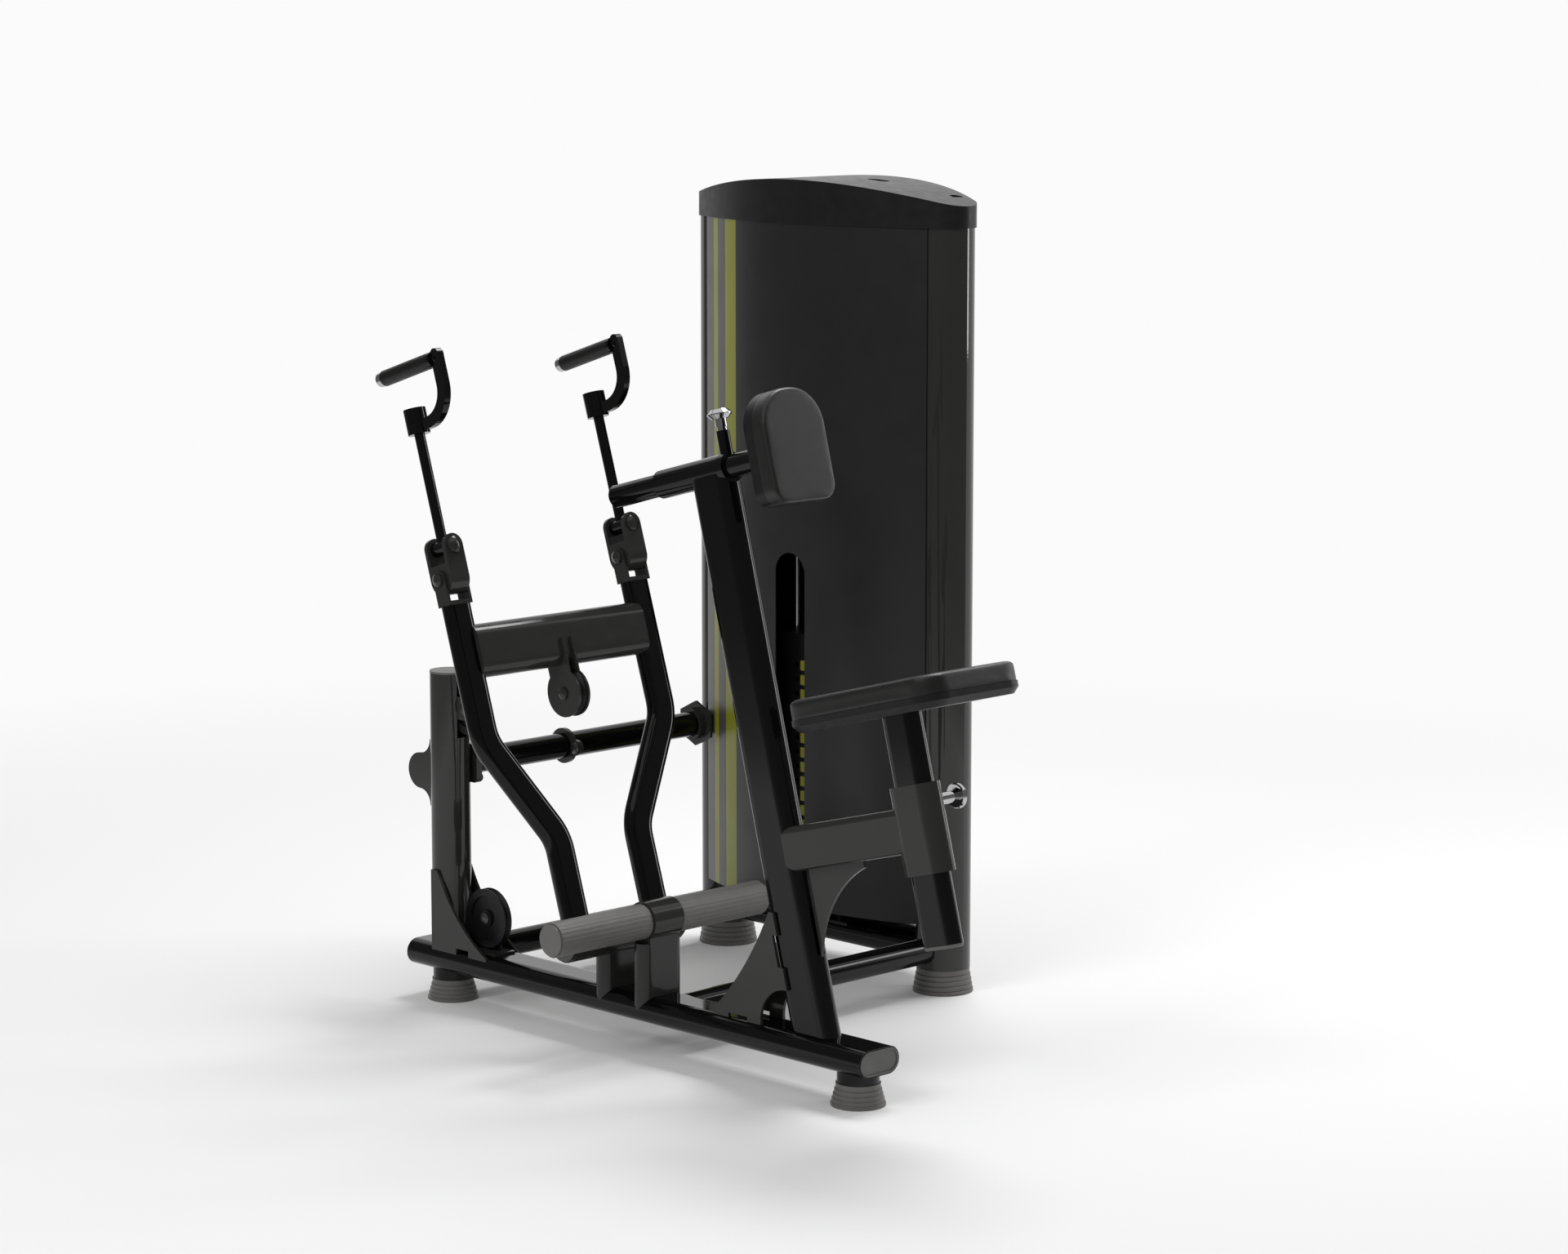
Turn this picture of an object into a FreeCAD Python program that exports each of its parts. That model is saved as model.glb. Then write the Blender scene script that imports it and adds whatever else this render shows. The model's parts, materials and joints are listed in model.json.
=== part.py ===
"""Seated row machine with a weight tower: a parametric document, one node per physical piece."""
import FreeCAD, Part
import math
import os
import Sketcher

Vector = FreeCAD.Vector

# Driving dimensions
# Millimetres and degrees. The origin is on the floor under the rear post; X runs forward along
# the base beam, Y towards the weight tower and Z up.
SIZES = {
    # Tubes, plates and fits shared by the frame
    "oval_wide": 100,
    "oval_thin": 50,
    "pipe_radius": 25,
    "plate_thick": 6,
    "seat_gap": 0.3,
    "run_fit": 0.05,
    "cut_over": 5,
    "bolt_radius": 7,
    "bolt_head_radius": 12,
    "bolt_head_tall": 7,
    # Base beam and its feet
    "beam_level": 85,
    "beam_rear": 78,
    "beam_front": 1150,
    "plug_rim": 3,
    "plug_deep": 4,
    "plug_dish": 2,
    "front_foot_x": 1099,
    "foot_radius": 49,
    "foot_top_radius": 40,
    "foot_tall": 41,
    "groove_deep": 2.5,
    "groove_tall": 3,
    "stub_radius": 38,
    "tower_foot_radius": 59,
    "tower_foot_top_radius": 52,
    "tower_foot_tall": 48,
    # Rear post
    "post_radius": 38,
    "post_top": 643,
    "post_cap_thick": 4,
    "post_slot_wide": 24,
    "post_slot_low": 516,
    "post_slot_tall": 118,
    "post_slot_back": 4,
    "tab_reach": 88,
    "tab_shoulder": 58,
    "tab_level": 436,
    "tab_nose_radius": 35,
    "tab_flare_radius": 30,
    "rear_gusset_high": 258,
    "rear_gusset_long": 150,
    "rear_gusset_tip": 8,
    "rear_gusset_back": 10,
    "rear_gusset_radius": 330,
    "notch_tall": 8,
    "notch_start": 62,
    "notch_long": 36,
    # Pulleys
    "pulley_thick": 16,
    "pulley_web": 7,
    "pulley_hub_radius": 16,
    "pulley_hub_long": 18,
    "pulley_groove": 7,
    "pulley_rim": 2,
    "axle_radius": 6,
    "base_pulley_radius": 57,
    "base_pulley_x": 109,
    "base_pulley_z": 175,
    "post_pulley_radius": 50,
    "post_pulley_x": 60,
    "post_pulley_z": 575,
    "top_pulley_radius": 33,
    "top_pulley_drop": 155,
    "bracket_half": 22,
    "bracket_foot_long": 46,
    # Cross tubes
    "cross_level": 85,
    "upper_cross_level": 460,
    "cross_x": 5,
    "front_cross_x": 622,
    "flange_thick": 9,
    "flange_wide": 76,
    "flange_tall": 75,
    "flange_corner": 8,
    "flange_bolt_x": 29,
    "flange_bolt_z": 28,
    "flange_head_radius": 8,
    "clamp_y": 283,
    "clamp_thick": 8,
    "clamp_radius": 35,
    "clamp_lug": 38,
    "clamp_lug_radius": 15,
    "diamond_y": 642,
    "diamond_half": 44,
    "diamond_tall": 46,
    "diamond_side": 24,
    "collar_radius": 32,
    "collar_long": 14,
    # Leaning frame of upright, seat and chest pad
    "lean": 14.8,
    "upright_x": 996,
    "upright_foot": 110,
    "upright_root": 20,
    "upright_long": 1004,
    "upright_slot_wide": 18,
    "upright_slot_deep": 22,
    "front_slot_low": 136,
    "front_slot_long": 84,
    "rear_slot_low": 216,
    "rear_slot_long": 62,
    "web_top_x": 905,
    "web_top_z": 318,
    "web_toe_x": 767,
    "web_toe_tall": 12,
    "web_edge": 24,
    "web_radius": 635,
    "web_hole_x": 950,
    "web_hole_z": 118,
    "web_hole_radius": 65,
    "web_notch_low": 112,
    "web_notch_long": 56,
    "web_notch_deep": 12,
    "knee_long": 146,
    "knee_deep": 155,
    "knee_toe": 12,
    "knee_radius": 204,
    # Seat
    "seat_beam_level": 327,
    "seat_beam_tall": 80,
    "seat_beam_corner": 12,
    "seat_axis": 350,
    "sleeve_wide": 102,
    "sleeve_thin": 52,
    "sleeve_up": 76,
    "sleeve_down": 79,
    "seat_post_wide": 80,
    "seat_post_thin": 40,
    "seat_post_low": 118,
    "seat_post_light": 6,
    "seat_plane": 582,
    "cushion_thick": 35,
    "base_thick": 22,
    "seat_wide": 240,
    "seat_long": 362,
    "seat_ahead": 11,
    "seat_corner": 45,
    "board_lip": 2,
    "pin_above": 43,
    "pin_boss_radius": 13,
    "pin_boss_long": 12,
    "pin_stem_radius": 9,
    "pin_knob_radius": 22,
    "pin_neck_radius": 10.5,
    "pin_ring": 2,
    "pin_knob_thick": 8,
    "pin_dome": 6,
    "pin_reach": 70,
    "pin_plunge": 6,
    "detent_deep": 12,
    "detent_pitch": 25,
    "chest_pitch": 40,
    # Chest support
    "chest_level": 1010.7,
    "chest_radius": 21,
    "chest_rear": 266,
    "chest_sleeve_radius": 26,
    "chest_sleeve_rear": 139,
    "chest_sleeve_front": 47,
    "chest_boss_x": 39,
    "chest_boss_radius": 12,
    "chest_boss_tall": 106,
    "chest_knob_radius": 22.5,
    "chest_knob_tall": 34,
    "chest_collar_radius": 27.5,
    "chest_collar_long": 16,
    "chest_face": 222,
    "chest_thick": 31,
    "chest_back": 22,
    "chest_wide": 150,
    "chest_tall": 203,
    "chest_pad_up": 9,
    "chest_round": 68,
    "chest_corner": 30,
    # Arm pivot and foot rest
    "pivot_x": 478,
    "pivot_z": 209,
    "stub_post_thin": 40,
    "housing_radius": 38,
    "housing_long": 112,
    "hub_radius": 38,
    "hub_start": 58,
    "hub_long": 76,
    "shaft_radius": 18,
    "shaft_cap": 5,
    "rest_post_x": 582,
    "rest_bar_x": 582,
    "rest_bar_z": 250,
    "rest_bar_radius": 20,
    "saddle_half": 36,
    "saddle_radius": 36,
    "saddle_drop": 4,
    "roller_radius": 32,
    "roller_start": 38,
    "roller_end": 260,
    "flute_deep": 0.5,
    # Swinging arm
    "arm_lean": 17.6,
    "arm_wide": 60,
    "arm_thin": 30,
    "arm_narrow_y": 98,
    "arm_broad_y": 220,
    "arm_bend_low": 190,
    "arm_bend_high": 385,
    "arm_bend_radius": 90,
    "arm_long": 642,
    "bar_level": 553,
    "bar_tall": 100,
    "bar_thin": 50,
    "arm_pulley_level": 452,
    "arm_pulley_ahead": 3,
    "arm_pulley_radius": 42,
    "cheek_radius": 45,
    "cheek_tab": 57,
    "cheek_thick": 4,
    "clevis_web": 8,
    "clevis_wide": 33,
    "clevis_span": 55,
    "clevis_leg": 5,
    "clevis_bolt_rise": 50,
    "knuckle_wide": 43,
    "knuckle_thick": 60,
    "knuckle_leg": 8,
    "knuckle_slot_rise": 77,
    "knuckle_bolt_rise": 108,
    "knuckle_ear_radius": 21.5,
    "joint_bolt_radius": 8,
    "joint_head_radius": 15,
    "joint_head_tall": 9,
    "bush_radius": 14,
    "rod_radius": 10,
    "handle_rise": 345,
    "handle_hub_radius": 21,
    "handle_hub_tall": 48,
    "handle_hub_roof": 5,
    "bow_wide": 22,
    "bow_thick": 14,
    "bow_drop": 10,
    "bow_straight": 35,
    "bow_radius": 60,
    "grip_radius": 15,
    "grip_level": 97,
    "grip_rear": 62,
    "grip_front": 77,
    "grip_collar": 7,
    "grip_bar_radius": 9,
    "grip_cap_long": 15,
    "grip_cap_radius": 14,
    # Weight tower
    "tower_x": 19.4,
    "tower_span": 605,
    "tower_y": 720,
    "tower_post_radius": 53,
    "tower_top": 1500,
    "panel_low": 138,
    "panel_bulge": 65,
    "panel_thick": 2.5,
    "slot_centre": 320,
    "slot_wide": 81,
    "slot_high": 843,
    "slot_low": 170,
    "cap_skirt": 15,
    "cap_over": 3,
    "cap_fit": 0.5,
    "cap_end_tall": 27,
    "cap_crest": 70,
    "cap_core_inset": 62,
    "cap_core_half": 60,
    "cap_core_tall": 36,
    "cap_hole_x": 419,
    "cap_hole_y": 743,
    "cap_hole_wide": 52,
    "cap_hole_thin": 24,
    "cap_plug_x": 613,
    "cap_plug_y": 757,
    "cap_plug_radius": 13,
    "cap_plug_deep": 30,
    "head_drop": 60,
    # Weight stack
    "stack_x": 302,
    "stack_y": 684,
    "plate_wide": 280,
    "plate_deep": 92,
    "plate_pitch": 29,
    "plate_play": 0.5,
    "stack_low": 166,
    "top_plate_tall": 48,
    "rod_offset": 44.5,
    "guide_radius": 10,
    "guide_play": 0.6,
    "buffer_radius": 22,
    "stem_radius": 12,
    "stem_head_radius": 17,
    "stem_head_tall": 30,
    "selector_radius": 5,
    "selector_knob_radius": 12,
    "selector_knob_long": 30,
}
PLATES_LIFTED = 12
PLATES_RESTING = 4
FOOT_RIBS = 5
FLUTES = 24


class Size:
    """A number with the sheet expression that it comes from."""

    def __init__(self, value, text):
        self.value = float(value)
        self.text = text

    def __add__(self, other):
        other = sized(other)
        return Size(self.value + other.value, f"({self.text} + {other.text})")

    def __sub__(self, other):
        other = sized(other)
        return Size(self.value - other.value, f"({self.text} - {other.text})")

    def __mul__(self, other):
        other = sized(other)
        return Size(self.value * other.value, f"({self.text} * {other.text})")

    def __truediv__(self, other):
        other = sized(other)
        return Size(self.value / other.value, f"({self.text} / {other.text})")

    def __neg__(self):
        return Size(-self.value, f"(-1 * {self.text})")

    def __radd__(self, other):
        return sized(other) + self

    def __rsub__(self, other):
        return sized(other) - self

    def __rmul__(self, other):
        return sized(other) * self


def sized(number):
    """A plain count or share as a Size."""
    return number if isinstance(number, Size) else Size(number, repr(number))


def root(size):
    return Size(math.sqrt(size.value), f"sqrt({size.text})")


def sine(size):
    return Size(math.sin(math.radians(size.value)), f"sin({size.text})")


def cosine(size):
    return Size(math.cos(math.radians(size.value)), f"cos({size.text})")


class Sheet:
    """The document's spreadsheet, one alias a row; an attribute is the size of that name."""

    def __init__(self, doc):
        self.cells = doc.addObject("Spreadsheet::Sheet", "Sizes")
        for row, (alias, value) in enumerate(SIZES.items(), start=1):
            self.cells.set(f"A{row}", alias)
            self.cells.set(f"B{row}", str(value))
            self.cells.setAlias(f"B{row}", alias)
        doc.recompute()

    def __getattr__(self, alias):
        return Size(getattr(self.cells, alias), f"Sizes.{alias}")


doc = FreeCAD.newDocument("SeatedRow")
S = Sheet(doc)
ZERO = sized(0)
NODES = []


# Helpers: outlines
def line(x, y):
    return ("line", sized(x), sized(y))


def arc(x, y, centre_x, centre_y, turn):
    """An arc to a point about a centre; turn is 1 anticlockwise and -1 clockwise."""
    return ("arc", sized(x), sized(y), sized(centre_x), sized(centre_y), turn)


def rectangle(left, right, low, high):
    return [line(right, low), line(right, high), line(left, high), line(left, low)]


def flat_oval(x, y, wide, thin):
    """Flat oval with its round ends to left and right."""
    reach = (wide - thin) / 2
    half = thin / 2
    return [
        line(x + reach, y - half),
        arc(x + reach, y + half, x + reach, y, 1),
        line(x - reach, y + half),
        arc(x - reach, y - half, x - reach, y, 1),
    ]


def tall_oval(x, y, thin, tall):
    """Flat oval with its round ends above and below."""
    reach = (tall - thin) / 2
    half = thin / 2
    return [
        line(x + half, y + reach),
        arc(x - half, y + reach, x, y + reach, 1),
        line(x - half, y - reach),
        arc(x + half, y - reach, x, y - reach, 1),
    ]


def rounded(left, right, low, high, low_radius, high_radius):
    """Rectangle whose two low and two high corners have their own radii."""
    return [
        line(right - low_radius, low),
        arc(right, low + low_radius, right - low_radius, low + low_radius, 1),
        line(right, high - high_radius),
        arc(right - high_radius, high, right - high_radius, high - high_radius, 1),
        line(left + high_radius, high),
        arc(left, high - high_radius, left + high_radius, high - high_radius, 1),
        line(left, low + low_radius),
        arc(left + low_radius, low, left + low_radius, low + low_radius, 1),
    ]


def ring(x, y, radius):
    return ("circle", sized(x), sized(y), radius)


# Helpers: document objects
def tie(item, path, size):
    """Binds one property or constraint to the sheet."""
    item.setExpression(path, sized(size).text)


def fix(sketch, geometry, position, x, y):
    """Holds a point of a sketch at a bound place; x or y may be None."""
    for kind, size in (("DistanceX", x), ("DistanceY", y)):
        if size is None:
            continue
        number = sketch.addConstraint(
            Sketcher.Constraint(kind, -1, 1, geometry, position, size.value)
        )
        tie(sketch, f"Constraints[{number}]", size)


def draw_circle(sketch, loop):
    _, x, y, radius = loop
    circle = Part.Circle(Vector(x.value, y.value, 0), Vector(0, 0, 1), radius.value)
    number = sketch.addGeometry(circle)
    fix(sketch, number, 3, x, y)
    held = sketch.addConstraint(Sketcher.Constraint("Radius", number, radius.value))
    tie(sketch, f"Constraints[{held}]", radius)


def draw_loop(sketch, steps):
    """Draws a closed loop; each step runs from the end of the one before it."""
    drawn = []
    for before, step in zip([steps[-1]] + steps[:-1], steps):
        start = Vector(before[1].value, before[2].value, 0)
        end = Vector(step[1].value, step[2].value, 0)
        if step[0] == "line":
            drawn.append((sketch.addGeometry(Part.LineSegment(start, end)), 1, 2))
            continue
        centre = Vector(step[3].value, step[4].value, 0)
        circle = Part.Circle(centre, Vector(0, 0, 1), (start - centre).Length)
        first = math.atan2(start.y - centre.y, start.x - centre.x)
        last = math.atan2(end.y - centre.y, end.x - centre.x)
        if step[5] > 0:
            shape = Part.ArcOfCircle(circle, first, last)
            drawn.append((sketch.addGeometry(shape), 1, 2))
        else:
            shape = Part.ArcOfCircle(circle, last, first)
            drawn.append((sketch.addGeometry(shape), 2, 1))
    for place, (number, begin, finish) in enumerate(drawn):
        following = drawn[(place + 1) % len(drawn)]
        sketch.addConstraint(
            Sketcher.Constraint("Coincident", number, finish, following[0], following[1])
        )
        step = steps[place]
        fix(sketch, number, finish, step[1], step[2])
        if step[0] == "arc":
            before = steps[place - 1]
            upright_chord = abs(step[2].value - before[2].value) >= abs(
                step[1].value - before[1].value
            )
            if upright_chord:
                fix(sketch, number, 3, step[3], None)
            else:
                fix(sketch, number, 3, None, step[4])


def new_sketch(body, name, plane, loops, offset=ZERO):
    """Sketch on one of the body's origin planes, moved along the plane's normal."""
    sketch = body.newObject("Sketcher::SketchObject", name)
    support = [f for f in body.Origin.OriginFeatures if f.Role == f"{plane}_Plane"][0]
    sketch.AttachmentSupport = [(support, "")]
    sketch.MapMode = "FlatFace"
    tie(sketch, ".AttachmentOffset.Base.z", offset)
    for loop in loops:
        if loop[0] == "circle":
            draw_circle(sketch, loop)
        else:
            draw_loop(sketch, loop)
    return sketch


def extrude(name, plane, loops, low, high):
    """Body padded from low to high along the axis square to the plane."""
    low = sized(low)
    high = sized(high)
    body = doc.addObject("PartDesign::Body", name)
    start = -high if plane == "XZ" else low
    sketch = new_sketch(body, name + "Outline", plane, loops, start)
    pad = body.newObject("PartDesign::Pad", name + "Pad")
    pad.Profile = sketch
    tie(pad, "Length", high - low)
    return body


def revolve(name, axis, steps):
    """Body turned about X, Y or Z; steps are (along, out) for X and (out, along) otherwise."""
    plane, line_name = {
        "X": ("XZ", "H_Axis"),
        "Y": ("XY", "V_Axis"),
        "Z": ("XZ", "V_Axis"),
    }[axis]
    body = doc.addObject("PartDesign::Body", name)
    sketch = new_sketch(body, name + "Outline", plane, [steps])
    turned = body.newObject("PartDesign::Revolution", name + "Turn")
    turned.Profile = sketch
    turned.ReferenceAxis = (sketch, [line_name])
    turned.Angle = 360
    return body


def loft(name, plane, sections):
    """Body lofted through (level, loop) sections."""
    body = doc.addObject("PartDesign::Body", name)
    sketches = [
        new_sketch(body, f"{name}Section{number}", plane, [loop], level)
        for number, (level, loop) in enumerate(sections)
    ]
    made = body.newObject("PartDesign::AdditiveLoft", name + "Loft")
    made.Profile = sketches[0]
    made.Sections = sketches[1:]
    made.Ruled = False
    return body


def rod(name, axis, radius, low, high, x=ZERO, y=ZERO, z=ZERO):
    """Cylinder along an axis from low to high, through the point given by the other two."""
    item = doc.addObject("Part::Cylinder", name)
    tie(item, "Radius", radius)
    tie(item, "Height", sized(high) - low)
    place = {"X": x, "Y": y, "Z": z}
    place[axis] = low
    if axis == "X":
        item.Placement.Rotation = FreeCAD.Rotation(Vector(0, 1, 0), 90)
    if axis == "Y":
        item.Placement.Rotation = FreeCAD.Rotation(Vector(1, 0, 0), -90)
    move(item, place["X"], place["Y"], place["Z"])
    return item


def box(name, left, right, near, far, low, high):
    item = doc.addObject("Part::Box", name)
    tie(item, "Length", right - left)
    tie(item, "Width", far - near)
    tie(item, "Height", high - low)
    move(item, left, near, low)
    return item


def move(item, x, y, z):
    for letter, size in (("x", x), ("y", y), ("z", z)):
        tie(item, f".Placement.Base.{letter}", size)
    return item


def fuse(name, *items):
    joined = doc.addObject("Part::MultiFuse", name)
    joined.Shapes = list(items)
    joined.Refine = True
    return joined


def group(name, *items):
    """Separate solids under one name."""
    together = doc.addObject("Part::Compound", name)
    together.Links = list(items)
    return together


def cut(name, base, *tools):
    """Takes tools away from a base, one after the other."""
    for number, tool in enumerate(tools):
        remains = doc.addObject("Part::Cut", f"{name}{number}")
        remains.Base = base
        remains.Tool = tool
        base = remains
    return base


def common(name, *items):
    shared = doc.addObject("Part::MultiCommon", name)
    shared.Shapes = list(items)
    return shared


def lean(item, angle, x, z):
    """Moves a piece from its own leaning frame, tipped backwards about Y, to its place."""
    item.Placement.Rotation = FreeCAD.Rotation(Vector(0, 1, 0), -angle.value)
    item.Placement.Rotation.Axis = Vector(0, -1, 0)
    tie(item, ".Placement.Rotation.Angle", angle)
    return move(item, x, ZERO, z)


def with_upright(item):
    return lean(item, S.lean, S.upright_x, S.upright_foot)


def with_arm(item):
    return lean(item, S.arm_lean, S.pivot_x, S.pivot_z)


def node(label, item):
    """Names a finished piece and puts it on the list to be written."""
    item.Label = label
    NODES.append(item)
    return item


def foot_outline(radius, top_radius, tall):
    """Half section of a rubber foot: a cone with grooves between its ribs."""
    steps = [line(radius, ZERO)]
    pitch = tall / FOOT_RIBS
    for rib in range(FOOT_RIBS):
        edge = radius - (radius - top_radius) * (rib / (FOOT_RIBS - 1))
        top = pitch * (rib + 1)
        if rib == FOOT_RIBS - 1:
            steps += [line(edge, top)]
            continue
        steps += [
            line(edge, top - S.groove_tall),
            line(edge - S.groove_deep, top - S.groove_tall / 2),
            line(radius - (radius - top_radius) * ((rib + 1) / (FOOT_RIBS - 1)), top),
        ]
    steps += [line(ZERO, tall), line(ZERO, ZERO)]
    return steps


def pulley(name, radius, x, y, z, bore):
    """Grooved wheel on a Y axle, with a thin web between its hub and its rim."""
    half = S.pulley_thick / 2
    web = S.pulley_web / 2
    hub = S.pulley_hub_long / 2
    rim = radius - S.pulley_groove
    inner = rim - S.pulley_groove
    steps = [
        line(bore, -hub),
        line(S.pulley_hub_radius, -hub),
        line(S.pulley_hub_radius, -web),
        line(inner, -web),
        line(inner, -half),
        line(radius, -half),
        line(radius, S.pulley_rim - half),
        line(rim, ZERO),
        line(radius, half - S.pulley_rim),
        line(radius, half),
        line(inner, half),
        line(inner, web),
        line(S.pulley_hub_radius, web),
        line(S.pulley_hub_radius, hub),
        line(bore, hub),
    ]
    return move(revolve(name, "Y", steps), x, y, z)


def dome_bolt(name, axis, radius, head_radius, head_tall, low, high, x=ZERO, y=ZERO, z=ZERO):
    """Bolt from low to high, with a domed head beyond each end."""
    edge = head_tall / 2
    dome = (head_radius * head_radius + edge * edge) / (edge * 2)
    along = [
        (radius, low),
        (head_radius, low),
        (head_radius, low - edge),
        (ZERO, low - head_tall),
        (ZERO, high + head_tall),
        (head_radius, high + edge),
        (head_radius, high),
        (radius, high),
    ]
    steps = []
    for number, (out, place) in enumerate(along):
        low_dome = number == 3
        high_dome = number == 5
        if axis == "X":
            if low_dome:
                steps.append(arc(place, out, place + dome, ZERO, 1))
            elif high_dome:
                steps.append(arc(place, out, high + head_tall - dome, ZERO, 1))
            else:
                steps.append(line(place, out))
        elif low_dome:
            steps.append(arc(out, place, ZERO, place + dome, -1))
        elif high_dome:
            steps.append(arc(out, place, ZERO, high + head_tall - dome, -1))
        else:
            steps.append(line(out, place))
    return move(revolve(name, axis, steps), x, y, z)


# Base beam
def beam_bar(name, extra=ZERO):
    """The flat oval of the base beam, whole or as a tool that shapes what stands on it."""
    loop = flat_oval(ZERO, S.beam_level, S.oval_wide, S.oval_thin)
    return extrude(name, "YZ", [loop], -S.beam_rear - extra, S.beam_front + extra)


def end_recess(name, low, high):
    rim = S.plug_rim * 2
    loop = flat_oval(ZERO, S.beam_level, S.oval_wide - rim, S.oval_thin - rim)
    return extrude(name, "YZ", [loop], low, high)


def foot_stub(name, x):
    return rod(name, "Z", S.stub_radius, S.foot_tall, S.beam_level, x=x)


base_beam = cut(
    "BaseBeam",
    fuse(
        "BaseBeamWelded",
        beam_bar("BeamBar"),
        foot_stub("FrontStub", S.front_foot_x),
        foot_stub("RearStub", ZERO),
    ),
    end_recess("RearRecess", -S.beam_rear, S.plug_deep - S.beam_rear),
    end_recess("FrontRecess", S.beam_front - S.plug_deep, S.beam_front),
)
node("base_beam", base_beam)


def end_plug(name, low, high, dish_low, dish_high):
    """Dished plug in an open end of the beam."""
    solid = end_recess(name, low, high)
    rim = S.plug_rim * 4
    loop = flat_oval(ZERO, S.beam_level, S.oval_wide - rim, S.oval_thin - rim)
    dish = extrude(name + "Dish", "YZ", [loop], dish_low, dish_high)
    return cut(name + "Dished", solid, dish)


front_plug = end_plug(
    "FrontPlug",
    S.beam_front - S.plug_deep,
    S.beam_front + S.plug_dish,
    S.beam_front,
    S.beam_front + S.plug_dish,
)
rear_plug = end_plug(
    "RearPlug",
    -S.beam_rear - S.plug_dish,
    S.plug_deep - S.beam_rear,
    -S.beam_rear - S.plug_dish,
    -S.beam_rear,
)
post_cap = rod("PostCap", "Z", S.post_radius, S.post_top - S.post_cap_thick, S.post_top)
node("tube_end_plugs", group("TubeEndPlugs", front_plug, rear_plug, post_cap))


# Rubber feet
def foot(name, radius, top_radius, tall, x, y):
    return move(revolve(name, "Z", foot_outline(radius, top_radius, tall)), x, y, ZERO)


tower_front_x = S.tower_x + S.tower_span
node(
    "rubber_feet",
    group(
        "RubberFeet",
        foot("RearFoot", S.foot_radius, S.foot_top_radius, S.foot_tall, ZERO, ZERO),
        foot("FrontFoot", S.foot_radius, S.foot_top_radius, S.foot_tall, S.front_foot_x, ZERO),
        foot(
            "TowerRearFoot",
            S.tower_foot_radius,
            S.tower_foot_top_radius,
            S.tower_foot_tall,
            S.tower_x,
            S.tower_y,
        ),
        foot(
            "TowerFrontFoot",
            S.tower_foot_radius,
            S.tower_foot_top_radius,
            S.tower_foot_tall,
            tower_front_x,
            S.tower_y,
        ),
    ),
)

# Rear post, with the slot that lets its pulley in
post_body_top = S.post_top - S.post_cap_thick
rear_post = cut(
    "RearPost",
    rod("RearPostBar", "Z", S.post_radius, S.beam_level, post_body_top),
    beam_bar("BeamUnderPost"),
    box(
        "PostSlot",
        S.post_slot_back,
        S.post_radius + S.cut_over,
        -S.post_slot_wide / 2,
        S.post_slot_wide / 2,
        S.post_slot_low,
        S.post_slot_low + S.post_slot_tall,
    ),
)
node("rear_post", rear_post)


# Gussets and tabs
def rear_gusset(name, near):
    """Web plate beside the rear post, with a hollow slope down to the beam."""
    top_x = S.rear_gusset_tip
    top_z = S.rear_gusset_high
    toe_x = S.rear_gusset_long
    toe_z = S.beam_level + S.oval_thin / 2 - S.notch_tall / 2
    centre_x, centre_z = arc_centre(top_x, top_z, toe_x, toe_z, S.rear_gusset_radius)
    notch_end = S.notch_start + S.notch_long
    notch_top = toe_z + S.notch_tall
    steps = [
        line(-S.rear_gusset_back, S.beam_level),
        line(S.notch_start, S.beam_level),
        line(S.notch_start, notch_top),
        line(notch_end, notch_top),
        line(notch_end, S.beam_level),
        line(toe_x, S.beam_level),
        line(toe_x, toe_z),
        arc(top_x, top_z, centre_x, centre_z, -1),
        line(-S.rear_gusset_back, top_z),
    ]
    return extrude(name, "XZ", [steps], near, near + S.plate_thick)


def arc_centre(from_x, from_y, to_x, to_y, radius):
    """Centre of the arc of this radius through two points, on the left of the way between."""
    along_x = to_x - from_x
    along_y = to_y - from_y
    chord = root(along_x * along_x + along_y * along_y)
    height = root(radius * radius - chord * chord / 4)
    centre_x = (from_x + to_x) / 2 - along_y / chord * height
    centre_y = (from_y + to_y) / 2 + along_x / chord * height
    return centre_x, centre_y


bell_top = S.tab_level + S.tab_nose_radius + S.tab_flare_radius
bell_low = S.tab_level - S.tab_nose_radius - S.tab_flare_radius
bell_steps = [
    line(ZERO, bell_top),
    line(-S.tab_shoulder, bell_top),
    arc(-S.tab_reach, bell_top - S.tab_flare_radius, -S.tab_reach, bell_top, -1),
    arc(-S.tab_reach, bell_low + S.tab_flare_radius, -S.tab_reach, S.tab_level, 1),
    arc(-S.tab_shoulder, bell_low, -S.tab_reach, bell_low, -1),
    line(ZERO, bell_low),
]
bell_tab = cut(
    "BellTab",
    extrude("BellPlate", "XZ", [bell_steps], -S.plate_thick / 2, S.plate_thick / 2),
    rod("PostInTab", "Z", S.post_radius, bell_low - S.cut_over, bell_top + S.cut_over),
)


def upright_line(z):
    """X of the upright's axis at a height above the floor."""
    return S.upright_x - (z - S.upright_foot) * sine(S.lean) / cosine(S.lean)


def web_edge(z):
    """X of the gusset edge that lies on the upright's flank."""
    return upright_line(z) - S.web_edge / cosine(S.lean)


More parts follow.
